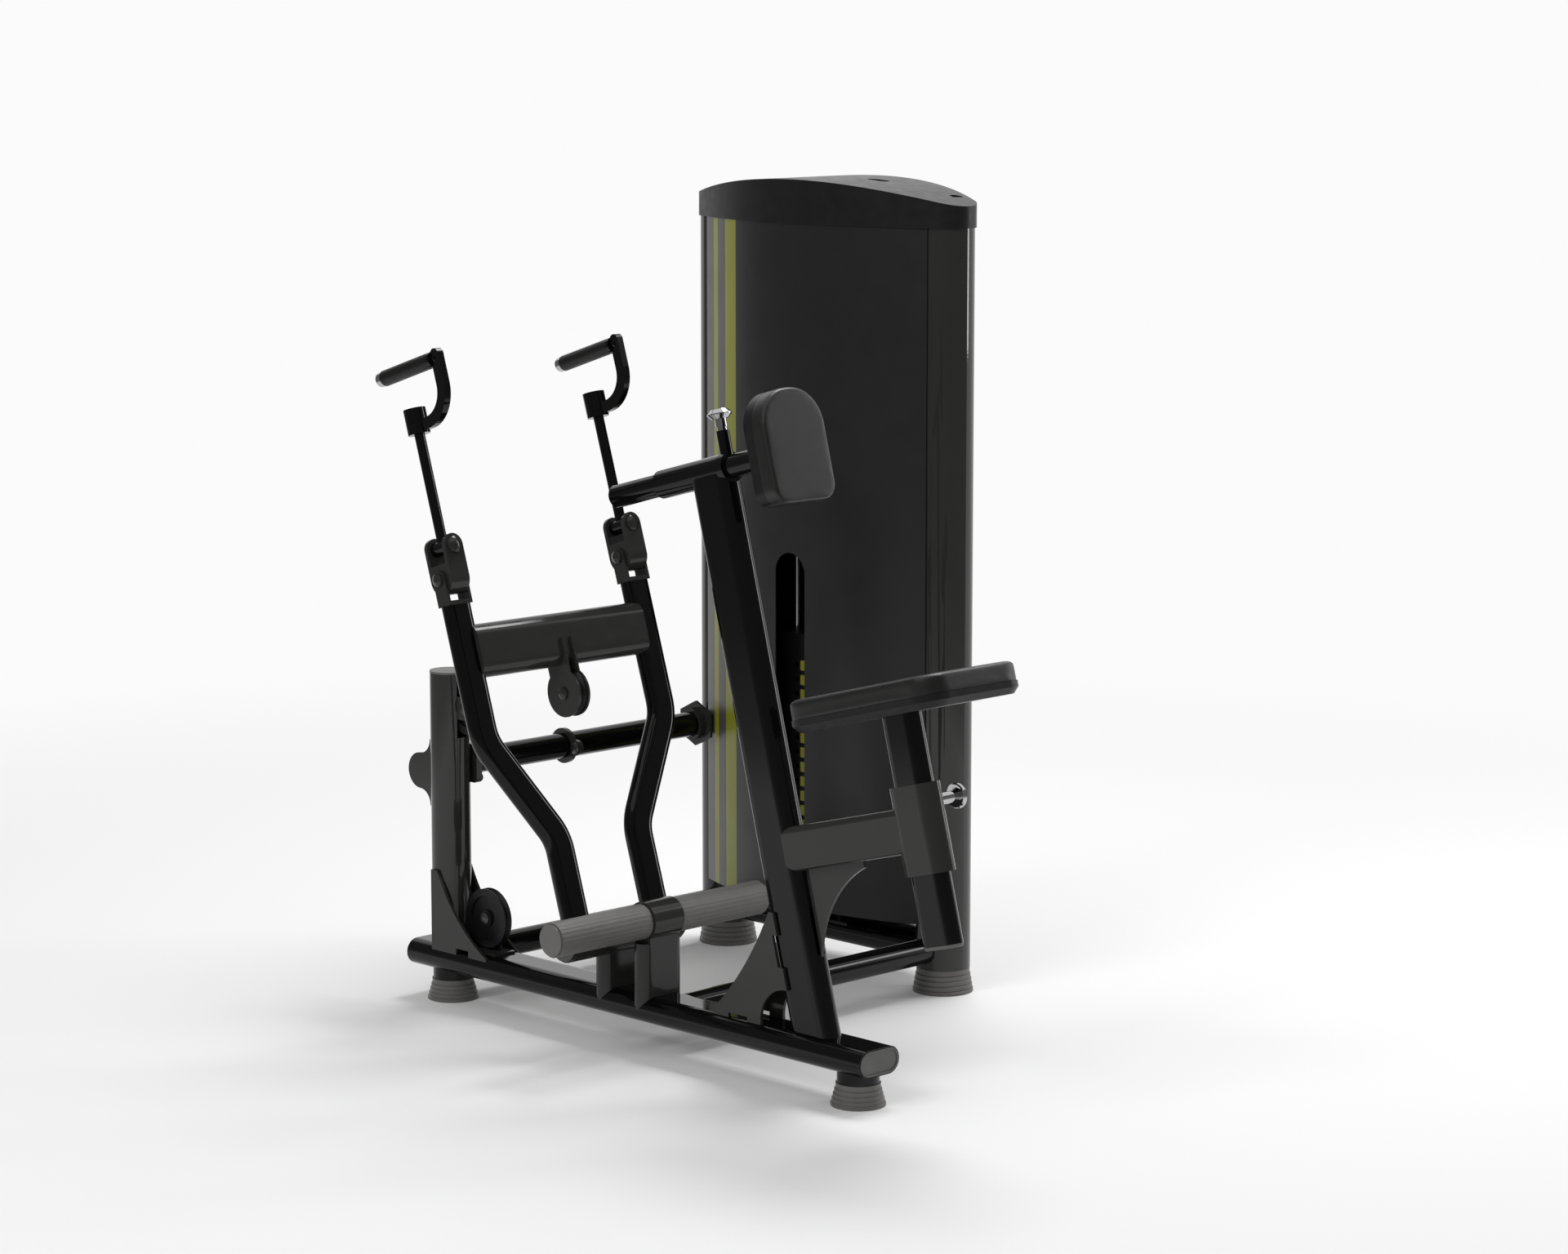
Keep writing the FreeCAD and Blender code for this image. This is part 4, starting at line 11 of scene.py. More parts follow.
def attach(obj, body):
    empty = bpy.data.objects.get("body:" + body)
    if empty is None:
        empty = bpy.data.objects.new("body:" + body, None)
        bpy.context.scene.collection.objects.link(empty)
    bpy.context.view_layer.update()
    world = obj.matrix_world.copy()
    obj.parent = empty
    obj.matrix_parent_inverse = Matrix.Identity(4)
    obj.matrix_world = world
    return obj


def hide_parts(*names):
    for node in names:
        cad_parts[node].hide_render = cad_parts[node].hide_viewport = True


bl_info = {
    "name": "Seated Row Machine",
    "version": (1, 0, 0),
    "blender": (4, 5, 0),
    "location": "View3D > Sidebar > Row Machine",
    "description": "Builds the finishes, cushions and studio of a seated row machine",
    "category": "Object",
}

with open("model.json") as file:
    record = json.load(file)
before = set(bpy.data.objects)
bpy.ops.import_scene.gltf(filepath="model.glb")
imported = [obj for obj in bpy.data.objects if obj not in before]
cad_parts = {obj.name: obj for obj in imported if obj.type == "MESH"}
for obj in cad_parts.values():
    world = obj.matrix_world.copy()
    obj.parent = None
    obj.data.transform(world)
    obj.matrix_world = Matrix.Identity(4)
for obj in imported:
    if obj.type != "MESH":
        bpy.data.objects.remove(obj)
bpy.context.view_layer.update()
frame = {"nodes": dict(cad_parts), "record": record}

MM = 0.001
WHITE = (1.0, 1.0, 1.0, 1.0)

# Long tubes, sprayed in a deeper black than the welded plates
BENT_TUBES = (
    "base_beam",
    "main_upright",
    "cross_tubes",
    "upper_cross_tube",
    "tower_base_beam",
    "left_arm_tube",
    "right_arm_tube",
    "left_rod",
    "right_rod",
    "left_handle",
    "right_handle",
    "chest_tube",
    "chest_sleeve",
    "seat_post",
)
# Round posts, the glossiest pieces of the frame
ROUND_POSTS = ("tower_posts", "rear_post")

# Colour of the front panel from each distance on, measured along X from the tower's rear
PANEL_BANDS = (
    (0 * MM, "panel"),
    (15 * MM, "stripe"),
    (54 * MM, "olive"),
    (74 * MM, "stripe"),
    (105 * MM, "olive"),
    (147 * MM, "panel"),
)
# Distance that the bands' ramp covers
BANDS_REACH = 200 * MM

# Weight plates in all, those that rest below the selector pin, and the step from one
# plate's number to the next
PLATES = 16
RESTING_PLATES = 4
PLATE_MASS = 5
# Height of a digit over the font's own size
DIGIT_SHARE = 0.7
# Corner of a label over its height
LABEL_CORNER_SHARE = 0.125
LABEL_CORNER_SEGMENTS = 4
# Gap behind a label, and half the digits' thickness, over the film's thickness
LABEL_GAP_SHARE = 0.125
DIGIT_RELIEF_SHARE = 0.25
DIGIT_SMOOTHNESS = 3

# Gap between a cushion and its board
SEAM = 0.3 * MM
# Height that a cushion leaves free for its swelling
SWELL_ROOM = 0.8 * MM
# How near to a border a vertex counts as on it
NEAR = 0.01 * MM
CORNER_SEGMENTS = 14
RIM_SEGMENTS = 5
STUFFING_PRESSURE = 4.0
CLOTH_STIFFNESS = 30.0
CLOTH_BENDING = 1.5
SWELL_FRAMES = 20
EVENING_SHARE = 0.5
EVENING_TIMES = 3
CREASE_ANGLE = math.radians(60)

# Studio, in metres and watts. A lamp has a name, a place, a point that it faces, its
# width and height, and its power
LAMPS = (
    ("Key softbox", (0.2, 2.3, 4.8), (0.6, 0.2, 0.3), (2.8, 1.6), 152.0),
    ("Front fill", (1.0, -5.2, 4.6), (0.6, -0.2, 0.5), (3.6, 2.4), 140.0),
    ("Right strip", (3.0, 4.2, 2.2), (0.6, 0.2, 0.9), (0.6, 2.8), 36.0),
)
ROOM_LIGHT = 0.42
FLOOR_SPAN = 400.0
FLOOR_MIDDLE = (0.6, 0.3, 0.0)
PAPER_ROUGHNESS = 0.9
# Between these distances from a point under the machine, the floor turns to background
FADE_MIDDLE = (0.5, 0.2, 0.0)
FADE_START = 1.0
FADE_END = 4.4
CURTAIN_RADIUS = 2.8
CURTAIN_TALL = 3.6
CURTAIN_SIDES = 96
CURTAIN_MIDDLE = (0.7, 0.2, CURTAIN_TALL / 2)
# Direction of the curtain's middle from the machine, and its reach to either side
CURTAIN_FACING = math.radians(-62)
CURTAIN_REACH = math.radians(113)
# Heights over the floor, and the curtain's grey level there
CURTAIN_TONES = ((0.0, 0.85), (0.12, 0.45), (0.4, 0.22), (0.9, 0.17))

# Camera, as solved from the vanishing directions; sensor and lens in millimetres
CAMERA_PLACE = (6.067, -5.073, 1.940)
CAMERA_TURN = (math.radians(90 - 8.755), 0.0, math.radians(90 - 44.55))
SENSOR_WIDTH = 36.0
LENS = 95.75
VIEW_END = 1000.0


def linear(hex_colour):
    """An sRGB hex colour as linear red, green, blue and alpha."""
    channels = [int(hex_colour[i : i + 2], 16) / 255 for i in (1, 3, 5)]
    return (
        *(c / 12.92 if c <= 0.04045 else ((c + 0.055) / 1.055) ** 2.4 for c in channels),
        1.0,
    )


def length(name, description, default):
    return bpy.props.FloatProperty(
        name=name, description=description, default=default, unit="LENGTH", subtype="DISTANCE"
    )


def tint(name, description, hex_colour):
    return bpy.props.FloatVectorProperty(
        name=name,
        description=description,
        default=linear(hex_colour),
        size=4,
        subtype="COLOR",
        min=0.0,
        max=1.0,
    )


class RowSizes(bpy.types.PropertyGroup):
    seat_plane: length("Seat height", "Seat surface above the upright's foot, along the lean", 0.582)
    seat_middle: length("Seat middle", "Seat centre ahead of the upright's axis", 0.361)
    seat_long: length("Seat length", "Length of the seat cushion", 0.362)
    seat_wide: length("Seat width", "Width of the seat cushion", 0.240)
    seat_corner: length("Seat corner", "Corner radius of the seat cushion", 0.045)
    seat_thick: length("Seat thickness", "Thickness of the seat cushion", 0.035)
    seat_rim: length("Seat rim", "Radius of the seat cushion's upper edge", 0.008)
    chest_face: length("Chest face", "Chest pad's face ahead of the upright's axis", 0.222)
    chest_level: length("Chest height", "Chest pad's middle above the upright's foot", 1.0197)
    chest_tall: length("Chest pad height", "Height of the chest cushion", 0.203)
    chest_wide: length("Chest pad width", "Width of the chest cushion", 0.150)
    chest_thick: length("Chest pad thickness", "Thickness of the chest cushion", 0.031)
    chest_round: length("Chest pad top radius", "Radius of the cushion's upper corners", 0.068)
    chest_corner: length("Chest pad corner", "Radius of the cushion's lower corners", 0.030)
    chest_rim: length("Chest pad rim", "Radius of the edge of the cushion's face", 0.0045)
    upright_x: length("Upright foot", "Where the upright's axis meets its foot, along X", 0.996)
    upright_z: length("Upright foot height", "Height of the upright's foot", 0.110)
    lean: bpy.props.FloatProperty(
        name="Lean",
        description="Lean of the upright",
        default=math.radians(14.8),
        subtype="ANGLE",
        unit="ROTATION",
    )
    grain: length("Vinyl grain", "Size of one cell of the vinyl's grain", 0.0014)
    peel: length("Orange peel", "Spacing of the powder coat's ripples", 0.003)
    plate_pitch: length("Plate pitch", "From one weight plate to the next", 0.029)
    plate_middle: length("Lowest plate", "Height of the lowest plate's middle", 0.18025)
    plate_front: length("Plate front", "Front face of the weight plates, along Y", 0.638)
    label_middle: length("Label middle", "Middle of the plate labels, along X", 0.331)
    label_wide: length("Label width", "Width of a plate label", 0.038)
    label_tall: length("Label height", "Height of a plate label", 0.020)
    label_film: length("Label film", "Thickness of a plate label", 0.0004)
    digit_tall: length("Digits", "Height of the digits on a plate label", 0.013)


class RowColours(bpy.types.PropertyGroup):
    coat: tint("Tube coat", "Gloss powder coat of the long tubes", "#080808")
    welded: tint("Frame coat", "Semi-gloss powder coat of posts and plates", "#2b2b2a")
    panel: tint("Panel coat", "Satin coat of the tower's panels", "#1e1e1e")
    cap: tint("Cap plastic", "Moulded cap and boards, and the labels' ink", "#1a1a1a")
    vinyl: tint("Vinyl", "Cover of seat and chest pad", "#181817")
    rubber: tint("Grey rubber", "Feet and foot rollers", "#5c5b58")
    grip: tint("Grip rubber", "Hand grips", "#111110")
    plug: tint("Plug plastic", "End caps of the tubes", "#5e5e5c")
    chrome: tint("Chrome", "Pins, grip caps and guide rods", "#b8b8b8")
    steel: tint("Black steel", "Bolts and shafts", "#262625")
    stack: tint("Plate paint", "Weight plates", "#070707")
    nylon: tint("Nylon", "Pulleys", "#151515")
    olive: tint("Olive", "Olive stripes and plate labels", "#7c7e1c")
    stripe: tint("Stripe grey", "Grey stripes of the panel", "#444441")
    floor: tint("Floor", "Studio floor", "#f3f3f3")
    background: tint("Background", "What the camera sees behind the floor", "#fbfbfb")


def sizes():
    return bpy.context.scene.row_sizes


def colours():
    return bpy.context.scene.row_colours


# Materials


def add(tree, kind, sockets=None, stops=(), **settings):
    """Adds one shader node with its settings, its sockets, which take values or links, and
    its ramp's stops, each a position with a grey level or a colour."""
    node = tree.nodes.new("ShaderNode" + kind)
    for name, value in settings.items():
        setattr(node, name, value)
    for name, value in (sockets or {}).items():
        if isinstance(value, bpy.types.NodeSocket):
            tree.links.new(value, node.inputs[name])
        else:
            node.inputs[name].default_value = value
    if stops:
        elements = node.color_ramp.elements
        while len(elements) < len(stops):
            elements.new(0.5)
        for element, (position, colour) in zip(elements, stops):
            element.position = position
            element.color = colour if hasattr(colour, "__len__") else (colour,) * 3 + (1.0,)
    return node


def empty_material(name):
    """A material without nodes; returns it and its node tree."""
    material = bpy.data.materials.new(name)
    material.use_nodes = True
    material.node_tree.nodes.clear()
    return material, material.node_tree


def shade(colour, share):
    """The same linear colour, darker or lighter."""
    return tuple(min(1.0, c * share) for c in colour[:3]) + (1.0,)


class Finish:
    """A material with one principled surface and the patterns that vary it. They follow
    object coordinates, and patch and spacing say how far apart their marks are."""

    def __init__(self, name, **surface):
        self.material, self.tree = empty_material(name)
        sockets = {socket.replace("_", " "): value for socket, value in surface.items()}
        self.surface = add(self.tree, "BsdfPrincipled", sockets)
        add(self.tree, "OutputMaterial", {"Surface": self.surface.outputs["BSDF"]})
        self.where = add(self.tree, "TexCoord").outputs["Object"]

    def connect(self, source, socket):
        self.tree.links.new(source, self.surface.inputs[socket])

    def drift(self, socket, patch, low, high):
        """Lets a socket of the surface drift between two levels or colours."""
        sockets = {"Vector": self.where, "Scale": 1.0 / patch, "Detail": 3.0}
        cloud = add(self.tree, "TexNoise", sockets).outputs["Fac"]
        level = add(self.tree, "ValToRGB", {"Fac": cloud}, stops=((0.3, low), (0.7, high)))
        self.connect(level.outputs["Color"], socket)

    def mottle(self, colour, patch, low, high):
        """Base colour that runs from a low to a high share of itself."""
        self.drift("Base Color", patch, shade(colour, low), shade(colour, high))

    def vary_gloss(self, patch, low, high):
        """Roughness that changes a little from place to place."""
        self.drift("Roughness", patch, low, high)

    def emboss(self, height, depth, strength=1.0):
        sockets = {"Height": height, "Distance": depth, "Strength": strength}
        relief = add(self.tree, "Bump", sockets)
        self.connect(relief.outputs["Normal"], "Normal")

    def pebble(self, spacing, detail, depth):
        """A fine relief of rounded grains."""
        sockets = {"Vector": self.where, "Scale": 1.0 / spacing, "Detail": detail}
        self.emboss(add(self.tree, "TexNoise", sockets).outputs["Fac"], depth)


def powder_coat(name, colour, bend, low, high):
    """Polyester powder, sprayed and baked on steel. It gives the eye a black skin whose
    reflections are sharp but ripple faintly. The batch decides how grey and how glossy it
    is. The ripples are drawn twice as wide as they are, so that they show."""
    finish = Finish(name, Roughness=low, IOR=bend)
    finish.mottle(colour, patch=200 * MM, low=0.96, high=1.04)
    finish.vary_gloss(patch=30 * MM, low=low, high=high)
    finish.pebble(spacing=sizes().peel * 2, detail=1.0, depth=0.02 * MM)
    return finish.material


def panel_coat(name):
    """Satin powder on rolled sheet steel. It gives the eye a calm dark face over which
    light fades slowly, without a sharp reflection."""
    finish = Finish(name, Roughness=0.3, IOR=1.42)
    finish.vary_gloss(patch=60 * MM, low=0.28, high=0.36)
    finish.pebble(spacing=sizes().peel, detail=2.0, depth=0.03 * MM)
    return finish


def striped_panel_coat():
    """The front panel's coat, with stripes printed along the tower's rear edge."""
    finish = panel_coat("Satin panel coat")
    along = add(finish.tree, "SeparateXYZ", {"Vector": finish.where}).outputs["X"]
    sockets = {"Value": along, "From Min": 0.0, "From Max": BANDS_REACH}
    reach = add(finish.tree, "MapRange", sockets).outputs["Result"]
    stops = [(edge / BANDS_REACH, getattr(colours(), name)) for edge, name in PANEL_BANDS]
    bands = add(finish.tree, "ValToRGB", {"Fac": reach}, stops=stops)
    bands.color_ramp.interpolation = "CONSTANT"
    finish.connect(bands.outputs["Color"], "Base Color")
    return finish.material


def plain_panel_coat():
    """The back panel's coat, without print and slightly cloudy."""
    finish = panel_coat("Satin sheet coat")
    finish.mottle(colours().panel, patch=80 * MM, low=0.85, high=1.15)
    return finish.material


def moulded_plastic(name, colour, roughness):
    """Injection-moulded plastic with the spark texture of its tool. It gives the eye an
    even, slightly dusty skin. The texture is drawn some five times as coarse as it is."""
    finish = Finish(name, Roughness=roughness, IOR=1.3)
    finish.mottle(colour, patch=40 * MM, low=0.9, high=1.1)
    finish.vary_gloss(patch=20 * MM, low=roughness - 0.05, high=roughness + 0.05)
    finish.pebble(spacing=1.2 * MM, detail=2.0, depth=0.04 * MM)
    return finish.material


def cast_rubber(name, colour, bend):
    """Moulded rubber. It gives the eye a matt skin with a broad, soft sheen and a little
    dust. Its grain is drawn coarser than it is, so that it shows."""
    finish = Finish(name, Roughness=0.45, IOR=bend)
    finish.mottle(colour, patch=20 * MM, low=0.95, high=1.05)
    finish.vary_gloss(patch=10 * MM, low=0.4, high=0.51)
    finish.pebble(spacing=0.8 * MM, detail=2.0, depth=0.04 * MM)
    return finish.material


def chrome_plate():
    """Bright chrome over polished steel. It gives the eye a mirror with hard black and
    white lines, and the faintest haze of handling."""
    finish = Finish("Chrome plate", Metallic=1.0, Roughness=0.06)
    finish.mottle(colours().chrome, patch=20 * MM, low=0.96, high=1.03)
    finish.vary_gloss(patch=8 * MM, low=0.04, high=0.1)
    return finish.material


def blackened_steel():
    """Turned steel in black oxide. It gives the eye a dark, oily, half matt skin. Its
    grain is drawn coarser than it is, so that it shows."""
    finish = Finish("Black oxide steel", Roughness=0.34, IOR=1.6)
    finish.mottle(colours().steel, patch=6 * MM, low=0.75, high=1.3)
    finish.vary_gloss(patch=4 * MM, low=0.22, high=0.38)
    finish.pebble(spacing=0.8 * MM, detail=2.0, depth=0.03 * MM)
    return finish.material


def painted_casting():
    """Enamel, brushed over ground cast iron. It gives the eye a deep black with the
    casting's unevenness under it."""
    finish = Finish("Plate enamel", Roughness=0.42, IOR=1.3)
    finish.mottle(colours().stack, patch=20 * MM, low=0.8, high=1.25)
    finish.pebble(spacing=1.5 * MM, detail=3.0, depth=0.12 * MM)
    return finish.material


def upholstery_vinyl():
    """Leather-grained vinyl, embossed and stretched over foam. It gives the eye a soft
    satin sheen that shallow creases between the grain's cells break up."""
    finish = Finish("Upholstery vinyl", Roughness=0.34, IOR=1.45)
    finish.mottle(colours().vinyl, patch=30 * MM, low=0.92, high=1.08)
    finish.vary_gloss(patch=20 * MM, low=0.3, high=0.38)
    cells = add(
        finish.tree,
        "TexVoronoi",
        {"Vector": finish.where, "Scale": 1.0 / sizes().grain, "Randomness": 0.9},
        feature="DISTANCE_TO_EDGE",
    ).outputs["Distance"]
    creases = add(finish.tree, "ValToRGB", {"Fac": cells}, stops=((0.0, 0.0), (0.12, 1.0)))
    finish.emboss(creases.outputs["Color"], depth=0.08 * MM, strength=0.6)
    return finish.material


def printed_film():
    """Matt vinyl film, printed flat and pressed on by hand. It gives the eye an even
    colour that catches light a little unevenly."""
    finish = Finish("Printed film", Roughness=0.4, IOR=1.45)
    finish.mottle(colours().olive, patch=10 * MM, low=0.92, high=1.1)
    finish.pebble(spacing=1.0 * MM, detail=3.0, depth=0.02 * MM)
    return finish.material


def screen_ink():
    """Screen-printed ink of the digits. It gives the eye a flat black, denser where the
    ink lies thick."""
    finish = Finish("Screen ink", Roughness=0.5, IOR=1.45)
    finish.mottle(colours().cap, patch=4 * MM, low=0.8, high=1.6)
    finish.vary_gloss(patch=4 * MM, low=0.42, high=0.58)
    return finish.material


def dress(material, *nodes):
    """Gives carried-over solids their finish."""
    for name in nodes:
        slots = frame["nodes"][name].data.materials
        slots.clear()
        slots.append(material)


# Mesh tools


def deselect():
    if bpy.context.object and bpy.context.object.mode != "OBJECT":
        bpy.ops.object.mode_set(mode="OBJECT")
    bpy.ops.object.select_all(action="DESELECT")


def take(piece):
    """Makes one object the only selected and active one."""
    deselect()
    piece.select_set(True)
    bpy.context.view_layer.objects.active = piece


def edit(piece):
    take(piece)
    bpy.ops.object.mode_set(mode="EDIT")


def leave_edit():
    bpy.ops.object.mode_set(mode="OBJECT")


def pick(piece, test, kind):
    """Selects the vertices, edges or faces of a mesh in edit mode that pass a test."""
    mesh = bmesh.from_edit_mesh(piece.data)
    mode = {"verts": "VERT", "edges": "EDGE", "faces": "FACE"}[kind]
    bpy.ops.mesh.select_mode(type=mode)
    bpy.ops.mesh.select_all(action="DESELECT")
    for element in getattr(mesh, kind):
        element.select_set(bool(test(element)))
    mesh.select_flush_mode()
    bmesh.update_edit_mesh(piece.data)


def apply_modifiers(piece):
    take(piece)
    for modifier in list(piece.modifiers):
        bpy.ops.object.modifier_apply(modifier=modifier.name)


def settle(piece, matrix):
    """Puts a piece in place within its mesh, so its object stays at the origin."""
    piece.data.transform(matrix @ piece.matrix_world)
    piece.matrix_world = Matrix.Identity(4)
    piece.data.update()


def rectangle(wide, tall):
    """A flat rectangle round the origin, left in edit mode."""
    deselect()
    bpy.ops.mesh.primitive_plane_add(size=1.0, location=(0, 0, 0))
    piece = bpy.context.object
    piece.data.transform(Matrix.Diagonal((wide, tall, 1, 1)))
    edit(piece)
    return piece


def thicken(thick):
    """Raises the flat mesh in edit mode to a closed slab."""
    bpy.ops.mesh.select_all(action="SELECT")
    bpy.ops.mesh.extrude_region_move(TRANSFORM_OT_translate={"value": (0, 0, thick)})
    bpy.ops.mesh.select_all(action="SELECT")
    bpy.ops.mesh.normals_make_consistent(inside=False)


def upright_frame():
    """From the leaning frame of the upright to the floor's frame."""
    s = sizes()
    foot = Matrix.Translation((s.upright_x, 0, s.upright_z))
    return foot @ Matrix.Rotation(-s.lean, 4, "Y")


# Cushions


def slab(name, wide, tall, radii, thick, rim):
    """A slab in its own plane: rounded corners, low face at zero, a rounded upper rim.
    radii are those of the corners at low and high second coordinate."""
    piece = rectangle(wide, tall)
    piece.name = name
    for side, radius in zip((-1, 1), radii):
        pick(
            piece,
            lambda v: v.co.y * side > tall / 2 - NEAR and abs(v.co.x) > wide / 2 - NEAR,
            "verts",
        )
        bpy.ops.mesh.bevel(offset=radius, segments=CORNER_SEGMENTS, affect="VERTICES")
    thicken(thick)
    pick(
        piece,
        lambda e: all(v.co.z > thick - NEAR for v in e.verts) and len(e.link_faces) == 2,
        "edges",
    )
    bpy.ops.mesh.bevel(offset=rim, segments=RIM_SEGMENTS, affect="EDGES")
    leave_edit()
    return piece


def swell(piece, travel, foot):
    """Swells a closed mesh as cloth over its stuffing. What lies under the foot's height
    is held, and no point travels further than it may."""
    rest = [v.co.copy() for v in piece.data.vertices]
    held = piece.vertex_groups.new(name="held")
    held.add([v.index for v in piece.data.vertices if v.co.z < foot], 1.0, "REPLACE")
    cloth = piece.modifiers.new("Stuffing", "CLOTH")
    cloth.settings.effector_weights.gravity = 0.0
    cloth.settings.use_pressure = True
    cloth.settings.uniform_pressure_force = STUFFING_PRESSURE
    cloth.settings.vertex_group_mass = "held"
    cloth.settings.tension_stiffness = CLOTH_STIFFNESS
    cloth.settings.compression_stiffness = CLOTH_STIFFNESS
    cloth.settings.bending_stiffness = CLOTH_BENDING
    cloth.point_cache.frame_start = 1
    cloth.point_cache.frame_end = SWELL_FRAMES
    for step in range(1, SWELL_FRAMES + 1):
        bpy.context.scene.frame_set(step)
    apply_modifiers(piece)
    bpy.context.scene.frame_set(1)
    for vertex, start in zip(piece.data.vertices, rest):
        moved = vertex.co - start
        if moved.length > travel:
            vertex.co = start + moved * (travel / moved.length)
    piece.vertex_groups.clear()


def stuff(piece, voxel, travel, foot):
    """Turns a slab into a stuffed cushion: an even skin, swollen and evened out. Then the
    foot is cut off, so the underside is flat and meets its board in a clean edge."""
    remesh = piece.modifiers.new("Even skin", "REMESH")
    remesh.mode = "VOXEL"
    remesh.voxel_size = voxel
    apply_modifiers(piece)
    swell(piece, travel, foot)
    even = piece.modifiers.new("Even out", "SMOOTH")
    even.factor = EVENING_SHARE
    even.iterations = EVENING_TIMES
    skin = piece.modifiers.new("Fine skin", "SUBSURF")
    skin.levels = skin.render_levels = 1
    apply_modifiers(piece)
    edit(piece)
    bpy.ops.mesh.select_all(action="SELECT")
    bpy.ops.mesh.bisect(
        plane_co=(0, 0, foot), plane_no=(0, 0, 1), use_fill=True, clear_inner=True
    )
    leave_edit()
    piece.data.transform(Matrix.Translation((0, 0, -foot)))
    take(piece)
    bpy.ops.object.shade_smooth_by_angle(angle=CREASE_ANGLE)


class ROW_OT_seat_cushion(bpy.types.Operator):
    """Vinyl seat cushion on its board"""

    bl_idname = "row.seat_cushion"
    bl_label = "Seat cushion"

    def execute(self, context):
        s = sizes()
        # The skin draws in when it is evened out, so the slab starts a little larger
        extra = 0.8 * MM
        foot = 6 * MM
        piece = slab(
            "seat_cushion",
            wide=s.seat_long + extra * 2,
            tall=s.seat_wide + extra * 2,
            radii=(s.seat_corner + extra, s.seat_corner + extra),
            thick=s.seat_thick - SWELL_ROOM + foot,
            rim=s.seat_rim,
        )
        stuff(piece, voxel=4.5 * MM, travel=0.6 * MM, foot=foot)
        low = s.seat_plane - s.seat_thick + SEAM
        seat = Matrix.Translation((s.seat_middle, 0, low))
        settle(piece, upright_frame() @ seat)
        piece.data.materials.append(upholstery_vinyl())
        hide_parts("seat_pad")
        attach(piece, "seat")
        return {"FINISHED"}


class ROW_OT_chest_cushion(bpy.types.Operator):
    """Chest cushion with a round head, facing the seat"""

    bl_idname = "row.chest_cushion"
    bl_label = "Chest cushion"

    def execute(self, context):
        s = sizes()
        # The slab starts a little smaller than the cushion's board
        spare = 0.4 * MM
        foot = 5 * MM
        piece = slab(
            "chest_cushion",
            wide=s.chest_wide - spare * 2,
            tall=s.chest_tall - spare * 2,
            radii=(s.chest_corner - spare, s.chest_round - spare),
            thick=s.chest_thick - SWELL_ROOM + foot,
            rim=s.chest_rim,
        )
        stuff(piece, voxel=3.5 * MM, travel=0.3 * MM, foot=foot)
        # The slab's plane turns upright, with its thickness along X
        turn = Matrix(((0, 0, 1, 0), (1, 0, 0, 0), (0, 1, 0, 0), (0, 0, 0, 1)))
        back = s.chest_face - s.chest_thick + SEAM
        pad = Matrix.Translation((back, 0, s.chest_level)) @ turn
        settle(piece, upright_frame() @ pad)
        piece.data.materials.append(bpy.data.materials["Upholstery vinyl"])
        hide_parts("chest_pad")
        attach(piece, "chest")
        return {"FINISHED"}


class ROW_OT_plate_labels(bpy.types.Operator):
    """Numbered film labels on the fronts of the weight plates"""

    bl_idname = "row.plate_labels"
    bl_label = "Plate labels"

    def execute(self, context):
        finishes = (printed_film(), screen_ink())
        resting = range(RESTING_PLATES)
        lifted = range(RESTING_PLATES, PLATES)
        for name, plates, body in (
            ("resting_labels", resting, "frame"),
            ("lifted_labels", lifted, "stack"),
        ):
            parts = [part for plate in plates for part in self.label(plate)]
            take(parts[0])
            for part in parts:
                part.select_set(True)
            bpy.ops.object.join()
            piece = bpy.context.object
            piece.name = name
            settle(piece, Matrix.Identity(4))
            layers = [face.material_index for face in piece.data.polygons]
            piece.data.materials.clear()
            for finish in finishes:
                piece.data.materials.append(finish)
            for face, layer in zip(piece.data.polygons, layers):
                face.material_index = layer
            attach(piece, body)
        return {"FINISHED"}

    def label(self, plate):
        """Film and digits of one plate, standing upright and facing the front."""
        s = sizes()
        height = s.plate_middle + plate * s.plate_pitch
        stand = Matrix.Rotation(math.radians(90), 4, "X")
        parts = (self.film(), self.digits(PLATE_MASS * (PLATES - plate)))
        for layer, part in enumerate(parts):
            front = s.plate_front - s.label_film * (LABEL_GAP_SHARE + layer)
            settle(part, Matrix.Translation((s.label_middle, front, height)) @ stand)
            # Two empty slots keep each layer's number when the parts are joined
            part.data.materials.clear()
            part.data.materials.append(None)
            part.data.materials.append(None)
            for face in part.data.polygons:
                face.material_index = layer
        return parts

    def film(self):
        """A blank label lying flat, with rounded corners."""
        s = sizes()
        film = rectangle(s.label_wide, s.label_tall)
        bpy.ops.mesh.select_all(action="SELECT")
        bpy.ops.mesh.bevel(
            offset=s.label_tall * LABEL_CORNER_SHARE,
            segments=LABEL_CORNER_SEGMENTS,
            affect="VERTICES",
        )
        thicken(s.label_film)
        leave_edit()
        return film

    def digits(self, number):
        """A number as flat solid digits round the origin."""
        s = sizes()
        deselect()
        bpy.ops.object.text_add(location=(0, 0, 0))
        digits = bpy.context.object
        digits.data.body = str(number)
        digits.data.size = s.digit_tall / DIGIT_SHARE
        digits.data.align_x = "CENTER"
        digits.data.align_y = "CENTER"
        digits.data.extrude = s.label_film * DIGIT_RELIEF_SHARE
        digits.data.resolution_u = DIGIT_SMOOTHNESS
        take(digits)
        bpy.ops.object.convert(target="MESH")
        return digits


